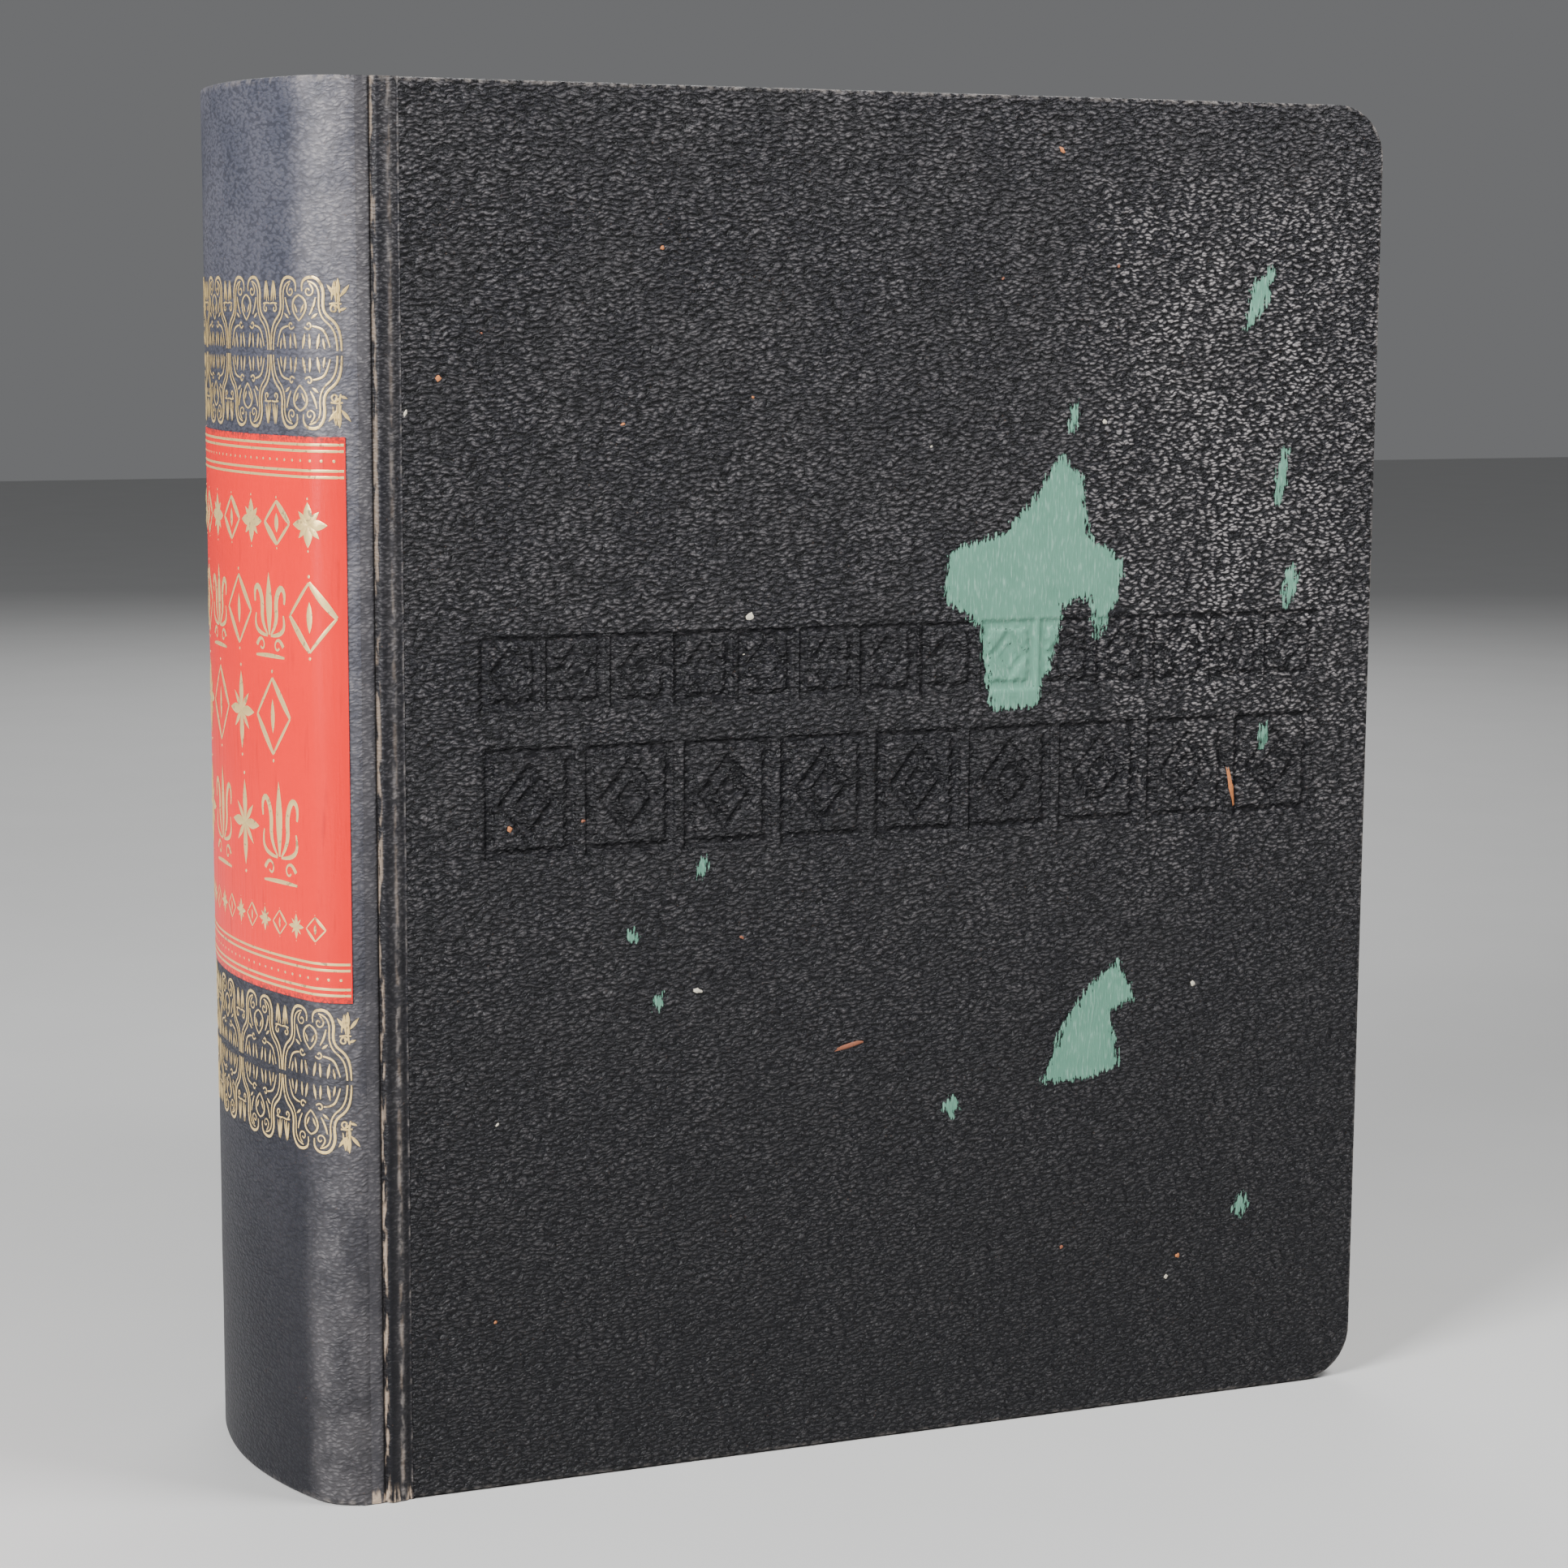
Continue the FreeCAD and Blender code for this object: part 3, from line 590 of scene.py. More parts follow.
def closed_plate(name, material, side, outer, columns, rows, radius, sink):
    """A plate whose columns and rows are (place, depth below the outer face); its back is closed."""
    sign = -1 if side == "front" else 1
    across, up = len(columns) - 1, len(rows) - 1
    far = max(place for place, depth in columns)
    half = max(place for place, depth in rows) - HEIGHT / 2
    clear()
    bpy.ops.mesh.primitive_grid_add(x_subdivisions=across, y_subdivisions=up, size=1)
    piece = named(name, material)
    for vertex in piece.data.vertices:
        x, depth_x = columns[round((vertex.co.x + 0.5) * across)]
        z, depth_z = rows[round((vertex.co.y + 0.5) * up)]
        corner_x = x - (far - radius)
        corner_z = abs(z - HEIGHT / 2) - (half - radius)
        if corner_x > 0 and corner_z > 0:
            pull = 1 - max(corner_x, corner_z) / math.hypot(corner_x, corner_z)
            x -= corner_x * pull
            z -= math.copysign(corner_z * pull, z - HEIGHT / 2)
        depth = max(depth_x, depth_z)
        if depth == 0:
            depth = sink(Vector((x, outer, z)))
        vertex.co = (x, outer - sign * depth, z)
    edit(piece)
    bpy.ops.mesh.region_to_loop()
    bpy.ops.mesh.edge_face_add()
    leave_edit()
    settle(piece)
    smooth(piece, 50)
    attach(piece, side + "_cover")
    return piece


def cover_leather(side, material):
    """A cover's leatherette: outer face, rolled edges and turn-in."""
    low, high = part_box(side + "_cover_skin")
    outer = low.y if side == "front" else high.y
    fine = 0.62 * MM if side == "front" else 3 * MM
    coarse = 2.4 * MM if side == "front" else 3 * MM
    rim = FORE_RIM[0][0] * MM
    columns = [(low.x + inset * MM, depth * MM) for inset, depth in HINGE_RIM]
    columns += [(x, 0.0) for x in stops(low.x + 0.8 * MM, high.x - rim, fine)]
    columns += [(high.x - inset * MM, depth * MM) for inset, depth in FORE_RIM]
    heights = stops(rim + coarse, STAMPED_FROM, coarse) + stops(STAMPED_FROM, STAMPED_TO, fine)
    heights += stops(STAMPED_TO, HEIGHT - rim, coarse)
    rows = [(inset * MM, depth * MM) for inset, depth in reversed(FORE_RIM)]
    rows += [(z, 0.0) for z in heights]
    rows += [(HEIGHT - inset * MM, depth * MM) for inset, depth in FORE_RIM]
    piece = closed_plate(
        side + "_cover_leatherette", material, side, outer, columns, rows, CORNER,
        lambda point: cover_relief(point, side))
    paint(piece, "wear", cover_wear)
    paint(piece, "rub_and_highlight", front_rub_and_highlight if side == "front" else back_scuff)
    if side == "front":
        paint(piece, "stamped", lambda point: pressed(point) if point.y < outer + 1 * MM else 0.0)
    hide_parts(side + "_cover_skin")


cover_finish = leather(
    "cover_leatherette", dark=colour(0.009, 0.009, 0.0125), pale=colour(0.017, 0.0165, 0.019),
    rubbed=colour(0.33, 0.305, 0.305), roughness=0.36, relief=1.1, contrast=1.25, fineness=1.4)
cover_leather("front", cover_finish.material)
cover_leather("back", cover_finish.material)


def board_sink(point):
    """The stamping die pressed the board in as well."""
    level = ramp(point.x, ROW_START - 3 * MM, ROW_START) * (1 - ramp(point.x, ROW_END, ROW_END + 3 * MM))
    return BOARD_SINK * level * ramp(point.z, STAMPED_FROM, STAMPED_FROM + 3 * MM) * (
        1 - ramp(point.z, STAMPED_TO - 3 * MM, STAMPED_TO))


board_low, board_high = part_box("front_board")
thick = board_high.y - board_low.y
board_columns = [(board_low.x, thick)] + [(x, 0.0) for x in stops(board_low.x, board_high.x, 3 * MM)]
board_rows = [(board_low.z, thick)] + [(z, 0.0) for z in stops(board_low.z, board_high.z, 1 * MM)]
pressed_board = closed_plate(
    "front_board_pressed", millboard.material, "front", board_low.y,
    board_columns + [(board_high.x, 0.0), (board_high.x, thick)],
    board_rows + [(board_high.z, 0.0), (board_high.z, thick)], CORNER - 0.5 * MM, board_sink)
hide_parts("front_board")

# ---- Joints -------------------------------------------------------------------------------------------
# The flexible strip of the same leatherette between each shoulder and cover.  It is pasted on the shoulder's
# roll, cracked beside the hinge knuckles that it passes over, and rubbed bare along the crack.  The crack's
# dark line is painted shade, and the part on the shoulder's roll is painted lighter grey, a painted highlight
# carried on from the spine.

joint_low, joint_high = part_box("back_joint_skin")
joint_offsets = [
    (-0.7, 44.86), (0.0, 44.96), (0.9, 45.0), (1.6, 44.95), (2.2, 44.76), (2.6, 44.62), (3.0, 45.05),
    (3.6, 45.6), (4.2, 45.7), (5.0, 45.48), (5.7, 45.26), (6.4, 45.3), (7.1, 45.1), (7.7, 44.78),
    (8.1, 44.72), (8.52, 44.95)]
joint_path = [(joint_low.x + offset * MM, depth * MM) for offset, depth in joint_offsets]
crack_x = joint_low.x + 2.6 * MM
ridge_x = joint_low.x + 6.3 * MM


def along(path, share):
    """A point on a smooth line through the path's points."""
    place = share * (len(path) - 1)
    i = min(int(place), len(path) - 2)
    t = place - i
    a, b, c, d = [Vector(path[min(max(j, 0), len(path) - 1)]) for j in (i - 1, i, i + 1, i + 2)]
    return 0.5 * (2 * b + (c - a) * t + (2 * a - 5 * b + 4 * c - d) * t * t + (3 * (b - c) + d - a) * t ** 3)


joint_finish = leather(
    "joint_leatherette", dark=colour(0.010, 0.010, 0.014), pale=colour(0.019, 0.018, 0.021),
    rubbed=colour(0.24, 0.225, 0.228), roughness=0.44, relief=0.20, contrast=0.6, fineness=1.6)
bare = joint_finish.mark("bare") * joint_finish.grain(1.3, 5.0, (1, 1, 0.2)).between(0.47, 0.58)
crack_shade = joint_finish.mark("crack_shade")
old_tone = Value(joint_finish.shader.inputs["Base Color"].links[0].from_socket)
cloth = joint_finish.mix(joint_finish.grain(0.4, 3.0), colour(0.30, 0.20, 0.13), colour(0.50, 0.41, 0.33))
# Painted highlight: the part on the shoulder's roll is painted lighter grey, like the spine's painted light.
rolled = joint_finish.mark("rolled")
lit_and_shaded_tone = joint_finish.mix(rolled * 0.3, old_tone, colour(0.075, 0.073, 0.085))
# Painted shade: a near-black line is painted along the crack, which is too shallow to shade itself.
lit_and_shaded_tone = joint_finish.mix(crack_shade * 0.85, lit_and_shaded_tone, colour(0.006, 0.005, 0.006))
joint_finish.feed(Base_Color=joint_finish.mix(bare, lit_and_shaded_tone, cloth))


def joint_bare(point):
    """Bare cloth: a torn patch at the tail, a rubbed line on the ridge and bits along the crack."""
    torn = 1 - ramp(point.z, 1.6 * MM, 3.4 * MM)
    low_half = 0.55 + 0.45 * (1 - ramp(point.z, 60 * MM, 190 * MM))
    flank = 1 - ramp(abs(point.x - (crack_x + 0.35 * MM)), 0.1 * MM, 0.55 * MM)
    ridge = 1 - ramp(abs(point.x - ridge_x), 0.1 * MM, 0.6 * MM)
    return max(1.4 * torn, 0.72 * flank * low_half, 0.2 * ridge * low_half)


def joint_wear(point):
    rim = 1 - ramp(min(point.z, HEIGHT - point.z), 0.4 * MM, 1.6 * MM)
    ridge = 1 - ramp(abs(point.x - ridge_x), 0.1 * MM, 0.9 * MM)
    seam = 1 - ramp(abs(point.x - joint_high.x), 0.1 * MM, 0.5 * MM)
    low_half = 0.42 + 0.3 * (1 - ramp(point.z, 60 * MM, 190 * MM))
    return max(0.8 * rim, 0.75 * low_half * ridge, 0.35 * seam)


# Painted shade: where the dark crack line is painted.
def joint_crack_shade(point):
    return 1 - ramp(abs(point.x - crack_x), 0.1 * MM, 0.55 * MM)


def joint_rolled(point):
    """1 where the strip carries on the shoulder's roll, up to the crack."""
    return 1 - ramp(point.x, crack_x - 0.8 * MM, crack_x - 0.1 * MM)


# Rubbed on the ridge. On the shoulder's roll it is rubbed grey and a painted highlight carried on from the
# spine, growing towards the top.
def joint_rub_and_highlight(point):
    ridge = 0.3 * (1 - ramp(abs(point.x - ridge_x), 0.4 * MM, 2.2 * MM))
    return max(ridge, joint_rolled(point) * (0.55 + 0.4 * ramp(point.z, 120 * MM, 290 * MM)))


def joint_leather(side):
    sign = -1 if side == "front" else 1
    steps = 64
    clear()
    bpy.ops.mesh.primitive_grid_add(x_subdivisions=steps, y_subdivisions=200, size=1)
    piece = named(side + "_joint_leatherette", joint_finish.material)
    for vertex in piece.data.vertices:
        x, depth = along(joint_path, vertex.co.x + 0.5)
        height = (vertex.co.y + 0.5) * HEIGHT
        shift = rumple((x, 0, height), 9 * MM, 0.09 * MM) + rumple((0, 3, height), 2.2 * MM, 0.03 * MM)
        vertex.co = (x, sign * (depth + shift - 0.08 * MM), height)
    if side == "back":
        edit(piece)
        bpy.ops.mesh.flip_normals()
        leave_edit()
    modify(piece, "SOLIDIFY", thickness=0.3 * MM, offset=-1)
    paint(piece, "wear", joint_wear)
    paint(piece, "bare", joint_bare)
    paint(piece, "crack_shade", joint_crack_shade)
    paint(piece, "rub_and_highlight", joint_rub_and_highlight)
    paint(piece, "rolled", joint_rolled)
    smooth(piece, 60)
    pivot = joints[side + "_cover_hinge"]["pos_m"]
    start = (pivot[0] - 2.4 * MM, pivot[1], 0)
    end = (pivot[0] + 2.2 * MM, pivot[1], 0)
    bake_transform(piece)
    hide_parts(side + "_joint_skin")


joint_leather("front")
joint_leather("back")

# ---- Red label ----------------------------------------------------------------------------------------
# A panel of red glazed skiver pasted across the spine from shoulder to shoulder.  It is thin enough for
# the grain below to show as faint upright streaks.

label_low, label_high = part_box("spine_label")
LABEL_HALF = 50 * MM
LABEL_LIFT = 0.18 * MM
red = Finish("red_skiver")
streak = red.grain(1.4, 4.0, (1, 1, 0.12))
speckle = red.grain(0.9, 4.0)
fade = red.grain(30.0, 3.0)
red_tone = red.mix(fade, colour(0.74, 0.007, 0.006), colour(0.88, 0.012, 0.009))
red_tone = red.mix(streak.between(0.55, 0.8) * 0.5, red_tone, colour(0.46, 0.010, 0.011))
red_tone = red.mix(red.mark("wear") * speckle.between(0.42, 0.62), red_tone, colour(0.16, 0.04, 0.035))
red.feed(Base_Color=red_tone)
red.feed(Roughness=streak * 0.18 + 0.24)
red.feed(Specular_IOR_Level=0.25)
red.bump(streak + speckle * 0.4, 0.10)
clear()
bpy.ops.mesh.primitive_grid_add(x_subdivisions=72, y_subdivisions=60, size=1)
label = named("red_label", red.material)
for vertex in label.data.vertices:
    across = vertex.co.x * 2 * LABEL_HALF
    height = label_low.z + (vertex.co.y + 0.5) * (label_high.z - label_low.z)
    lift = LABEL_LIFT + rumple((across, 5, height), 11 * MM, 0.03 * MM) - 0.03 * MM
    vertex.co = on_spine(across, height, lift)
modify(label, "SOLIDIFY", thickness=0.2 * MM, offset=-1)
paint(label, "wear", lambda point: 1 - ramp(
    min(point.z - label_low.z, label_high.z - point.z), 0.2 * MM, 1.1 * MM))
smooth(label)
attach(label, "root")
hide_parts("spine_label")

# ---- Gilt ornament ------------------------------------------------------------------------------------
# Gold foil stamped with a hot brass: two arabesque bands on the leatherette, and rules, dots and rows of
# floral ornament on the label.  The foil is a hair proud of the skin and rubbed through in places.

gilt = Finish("gold_foil")
rubbed = gilt.grain(1.6, 4.0).between(0.60, 0.68)
gilt.feed(Base_Color=gilt.mix(rubbed * 0.8, colour(0.93, 0.67, 0.28), colour(0.16, 0.11, 0.06)))
gilt.feed(Metallic=0.55 - rubbed * 0.45)
gilt.feed(Roughness=gilt.grain(0.5, 3.0) * 0.25 + 0.24)
gilt.bump(gilt.grain(0.35, 3.0), 0.03)


def foil(name, strokes, lift):
    """Strokes of foil wrapped on the spine. A stroke is its points (across, height) and its widths, in mm."""
    curve = bpy.data.curves.new(name, "CURVE")
    curve.dimensions = "3D"
    curve.resolution_u = 3
    curve.bevel_depth = 0.5 * MM
    curve.bevel_resolution = 0
    curve.use_fill_caps = True
    for points, widths in strokes:
        spline = curve.splines.new("NURBS")
        spline.points.add(len(points) - 1)
        for i, (point, (across, height)) in enumerate(zip(spline.points, points)):
            point.co = (across * MM, height * MM, 0, 1)
            point.radius = widths[min(i, len(widths) - 1)]
        spline.order_u = min(3, len(points))
        spline.use_endpoint_u = True
    piece = bpy.data.objects.new(name, curve)
    bpy.context.collection.objects.link(piece)
    only(piece)
    bpy.ops.object.convert(target="MESH")
    piece = named(name, gilt.material)
    for vertex in piece.data.vertices:
        vertex.co = on_spine(vertex.co.x, vertex.co.y, lift + vertex.co.z * 0.22)
    settle(piece)
    smooth(piece, 80)
    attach(piece, "root")
    return piece


def curl(across, height, start_deg, sweep_deg, first, last, steps=7):
    """The points of a scroll that winds from radius first to radius last."""
    points = []
    for i in range(steps):
        share = i / (steps - 1)
        turn = math.radians(start_deg + sweep_deg * share)
        radius = first + (last - first) * share
        points.append((across + radius * math.cos(turn), height + radius * math.sin(turn)))
    return points


def petal(across, height, turn_deg, length, width):
    """A pointed leaf from its foot, as one swelling stroke."""
    turn = math.radians(turn_deg)
    points = []
    for share in (0, 0.33, 0.7, 1):
        reach = share * length
        points.append((across + reach * math.cos(turn), height + reach * math.sin(turn)))
    return points, (0.12, width, width * 0.8, 0.05)


UNIT = 19.9
BAND_HALF = 15.2
FINE = (0.34,)
half_loop = [
    ([(9.75, 0.5), (9.7, 3.4), (8.7, 6.1), (6.5, 7.7), (5.9, 9.6), (6.3, 12.6), (4.9, 15.2), (2.3, 15.3),
      (0.7, 14.0), (1.0, 12.4)], (0.3, 0.45, 0.5, 0.5, 0.55, 0.6, 0.6, 0.6, 0.45, 0.3)),
    ([(8.9, 0.5), (8.8, 3.0), (7.8, 5.4), (5.8, 6.9), (5.0, 9.3), (5.3, 12.2), (4.2, 14.2), (2.6, 14.4)],
     FINE),
    (curl(2.7, 12.5, 80, -430, 1.5, 0.25, 9), (0.3, 0.42, 0.3)),
    ([(0.0, 11.7), (1.5, 11.2), (2.2, 9.4), (1.3, 7.5), (0.0, 6.5)], (0.3, 0.5, 0.5, 0.35)),
    ([(4.4, 11.2), (4.0, 9.2), (2.9, 7.7)], (0.25, 0.7, 0.2)),
    petal(0.55, 8.1, 62, 2.0, 0.55),
    petal(3.4, 7.0, 35, 1.7, 0.6),
    (curl(2.6, 5.6, 200, 330, 1.05, 0.3), FINE),
    ([(3.6, 5.4), (5.4, 5.2), (6.7, 3.9), (7.4, 1.2)], (0.3, 0.45, 0.4, 0.25)),
    petal(1.0, 0.9, 78, 3.2, 0.75),
    petal(2.9, 0.9, 92, 3.0, 0.65),
    petal(4.6, 0.8, 80, 3.2, 0.7),
    petal(6.3, 0.8, 100, 2.2, 0.5),
    petal(9.5, 10.4, 100, 4.3, 0.5),
    petal(8.7, 10.3, 93, 4.2, 0.55),
    petal(7.8, 10.7, 82, 3.9, 0.5),
    (curl(8.3, 8.9, 100, 330, 0.95, 0.25), FINE),
    ([(9.8, 9.9), (8.9, 10.2), (7.4, 9.9)], FINE),
]
half_end = [
    petal(1.6, 11.5, 90, 3.6, 0.9),
    petal(1.2, 11.4, 128, 3.0, 0.8),
    petal(2.0, 11.4, 52, 3.0, 0.8),
    ([(1.6, 11.6), (1.5, 9.8), (1.9, 8.2)], (0.4, 0.5, 0.3)),
    petal(1.7, 9.0, 145, 1.6, 0.6),
    petal(1.8, 8.6, 20, 1.5, 0.6),
]


def shifted(strokes, across, height, flip_across=1, flip_up=1):
    """Strokes moved to a place, and mirrored where a flip is -1."""
    return [([(across + flip_across * u, height + flip_up * v) for u, v in points], widths)
            for points, widths in strokes]


def arabesque(name, middle):
    """Five looped units, mirrored about the band's level middle line, with a sprig at each end."""
    strokes = []
    for flip_up in (1, -1):
        for unit in range(-2, 3):
            for flip_across in (1, -1):
                strokes += shifted(half_loop, unit * UNIT, middle, flip_across, flip_up)
        for end in (1, -1):
            strokes += shifted(half_end, end * (2.5 * UNIT - 2.4), middle, end, flip_up)
    foil(name, strokes, 0.02 * MM)


BAND_GAP = 1.7
upper_middle = label_high.z / MM + BAND_GAP + BAND_HALF
lower_middle = label_low.z / MM - BAND_GAP - BAND_HALF
arabesque("upper_gilt_band", upper_middle)
arabesque("lower_gilt_band", lower_middle)

DOT_PITCH = 2.65
RULE_HALF = LABEL_HALF / MM - 0.3
rules = []
for end in (1, -1):
    edge = (label_high.z if end > 0 else label_low.z) / MM
    for inset, width in ((1.6, 0.55), (2.9, 0.55), (6.9, 0.55), (8.2, 0.55)):
        height = edge - end * inset
        points = [(-RULE_HALF + 2 * RULE_HALF * i / 30, height) for i in range(31)]
        rules.append((points, (width,)))
    for i in range(-18, 19):
        across = i * DOT_PITCH
        height = edge - end * 4.9
        dot = [(across - 0.28, height), (across, height), (across + 0.28, height)]
        rules.append((dot, (0.35, 0.85, 0.35)))
foil("label_rules", rules, LABEL_LIFT)


def bead(across, height, width):
    """A round dot of foil."""
    end = width * 0.3
    return [(across - end, height), (across, height), (across + end, height)], (0.4, width, 0.4)


def lozenge(half, tall):
    """An open diamond, heavy on one slope, with a solid diamond in it and a bead at its tips."""
    strokes = []
    for across in (1, -1):
        for up in (1, -1):
            heavy = (0.8, 2.4, 0.8) if across * up > 0 else (0.5, 1.1, 0.5)
            bend = (across * half / 2, up * tall * 0.4)
            strokes.append(([(0, up * tall * 0.8), bend, (across * half, 0)], heavy))
    strokes.append(([(0, -tall * 0.36), (0, 0), (0, tall * 0.36)], (0.1, 3.0, 0.1)))
    strokes += [bead(0, up * tall * 0.94, tall * 0.11) for up in (1, -1)]
    return strokes


def lily(half, tall):
    """A bud between two petals that curl outwards, on a foot with two scrolls."""
    strokes = [([(0, -tall * 0.5), (0, 0), (0, tall * 0.5), (0, tall * 0.95)], (0.5, 2.5, 2.4, 0.1))]
    for side in (1, -1):
        flare = [(0.10, -0.50), (0.50, -0.22), (0.40, 0.30), (0.70, 0.66), (1.0, 0.50), (0.92, 0.24)]
        strokes.append(([(side * half * u, tall * v) for u, v in flare], (0.5, 1.3, 1.5, 1.4, 1.0, 0.6)))
        tendril = [(0.10, -0.52), (0.62, -0.50), (0.98, -0.28), (0.86, -0.02)]
        strokes.append(([(side * half * u, tall * v) for u, v in tendril], (0.5, 1.1, 0.9, 0.5)))
        scroll = curl(side * half * 0.52, -tall * 0.76, 90 - side * 90, side * 330, half * 0.32, half * 0.08)
        strokes.append((scroll, (1.0, 0.9, 0.5)))
    strokes.append(([(-half * 0.9, -tall), (0, -tall * 0.96), (half * 0.9, -tall)], (0.5, 1.4, 0.5)))
    return strokes


def quatrefoil(half, tall):
    """Four crossed leaves with small leaves between them, and a bead at the tips."""
    strokes = []
    for turn in (0, 90, 180, 270):
        length = half if turn % 180 == 0 else tall * 0.84
        strokes.append(petal(0, 0, turn, length, 2.5))
    for turn in (45, 135, 225, 315):
        strokes.append(petal(0, 0, turn, half * 0.85, 1.5))
    strokes += [bead(0, up * tall * 0.96, tall * 0.11) for up in (1, -1)]
    return strokes


label_rows = [
    {"from_top": 18, "tall": 5.6, "half": 4.6, "room": 10.4, "order": (quatrefoil, lozenge)},
    {"from_top": 37, "tall": 9.0, "half": 6.2, "room": 13.9, "order": (lily, lozenge)},
    {"from_top": 58.5, "tall": 10.0, "half": 6.4, "room": 14.3, "order": (lozenge, quatrefoil)},
    {"from_top": 82.5, "tall": 11.0, "half": 7.0, "room": 15.2, "order": (lily, quatrefoil)},
    {"from_top": 102, "tall": 3.2, "half": 2.6, "room": 6.0, "order": (quatrefoil, lozenge)},
]
for number, row in enumerate(label_rows, 1):
    strokes = []
    count = int((LABEL_HALF / MM - row["half"] - 1.5) / row["room"])
    for i in range(-count, count + 1):
        shape = row["order"][abs(i) % 2](row["half"], row["tall"])
        slim = 0.45 if row["tall"] < 4 else 1.0
        shape = [(points, [width * slim for width in widths]) for points, widths in shape]
        strokes += shifted(shape, i * row["room"], label_high.z / MM - row["from_top"])
    foil("label_ornament_row_%d" % number, strokes, LABEL_LIFT)

# ---- Pages --------------------------------------------------------------------------------------------
# Punched album leaves of uncoated paper, cut separately and so not quite flush.  They are pressed thin
# on the posts and swell towards the fore edge.

paper = Finish("album_paper")
fibre = paper.grain(0.3, 3.0)
toned = paper.mark("wear") * 0.6 + paper.grain(26.0, 3.0).between(0.45, 0.8) * 0.16
paper.feed(Base_Color=paper.mix(toned, colour(0.80, 0.75, 0.63), colour(0.52, 0.42, 0.28)))
paper.feed(Roughness=0.8)
paper.bump(fibre, 0.03)

STATIONS = [0, 0.06, 0.11, 0.128, 0.15, 0.18, 0.222, 0.5, 0.9, 1]
LEAVES_IN_SECTION = 28
PAPER_THICKNESS = 0.2 * MM
section_low, section_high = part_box("page_section_5")
bound_edge = section_low.x
fore_edge = section_high.x
flare_start = -82 * MM
flare_end = -60 * MM
SECTIONS = 8


bound_reach = -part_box("page_section_1_stub")[0].y
free_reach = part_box("page_section_8")[1].y
boundaries = []
for i in range(SECTIONS + 1):
    share = 2 * i / SECTIONS - 1
    boundaries.append((share * bound_reach, share * free_reach))


def leaf_mesh():
    """One leaf, modelled once: a sheet with points where it bends, given its thickness."""
    clear()
    across = len(STATIONS) - 1
    bpy.ops.mesh.primitive_grid_add(x_subdivisions=across, y_subdivisions=3, size=1)
    piece = named("album_leaf", paper.material)
    for vertex in piece.data.vertices:
        share = STATIONS[round((vertex.co.x + 0.5) * across)]
        vertex.co = (share, 0, vertex.co.y + 0.5)
    modify(piece, "SOLIDIFY", thickness=1.0, offset=0)
    return piece


leaf = leaf_mesh()


def copied(piece):
    """A copy of a piece, with its own mesh."""
    copy = bpy.data.objects.new(piece.name, piece.data.copy())
    bpy.context.collection.objects.link(copy)
    return copy


def joined(pieces, name, material):
    """Several pieces joined into one."""
    clear()
    for piece in pieces:
        piece.select_set(True)
    bpy.context.view_layer.objects.active = pieces[0]
    if len(pieces) > 1:
        bpy.ops.object.join()
    return named(name, material)


def section_stack(number):
    """A section of leaves, each a copy of the one leaf with its own mesh."""
    bound0, free0 = boundaries[number - 1]
    bound1, free1 = boundaries[number]
    trim = 0.35 * MM if number == 1 else 0.05 * MM
    copies = []
    for i in range(LEAVES_IN_SECTION):
        share = (i + 0.5) / LEAVES_IN_SECTION
        bound = bound0 + (bound1 - bound0) * share
        free = free0 + 0.25 * MM + (free1 - trim - free0 - 0.4 * MM) * share
        seed = number * 100 + i
        cut = noise.noise(Vector((seed * 0.37, 1.7, 0.2)))
        rise = noise.noise(Vector((0.4, seed * 0.41, 2.6)))
        copy = copied(leaf)
        for vertex in copy.data.vertices:
            x = bound_edge + vertex.co.x * (fore_edge - 0.5 * MM + 0.7 * MM * cut - bound_edge)
            low = section_low.z + 0.5 * MM + 0.6 * MM * rise
            high = section_high.z - 0.5 * MM + 0.6 * MM * cut
            z = low + vertex.co.z * (high - low)
            swell = ramp(x, flare_start, flare_end)
            sway = 0.05 * MM * noise.noise(Vector((seed * 0.9, x * 14, z * 14))) * swell
            y = bound + (free - bound) * swell + sway
            vertex.co = (x, y + vertex.co.y * PAPER_THICKNESS, z)
        copies.append(copy)
    piece = joined(copies, "page_leaves_%d" % number, paper.material)
    edit(piece)
    bpy.ops.mesh.normals_make_consistent(inside=False)
    leave_edit()
    paint(piece, "wear", page_toning)
    return piece


def page_toning(point):
    """Paper yellows from its edges inwards."""
    edge = min(point.z - section_low.z, section_high.z - point.z, fore_edge - point.x)
    return 1 - ramp(edge, 0.5 * MM, 9 * MM)


for number in range(1, SECTIONS + 1):
    stack = section_stack(number)
    if number == 1:
        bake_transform(stack)
        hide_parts("page_section_1", "page_section_1_stub")
    else:
        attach(stack, "root")
        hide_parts("page_section_%d" % number)
bpy.data.objects.remove(leaf)


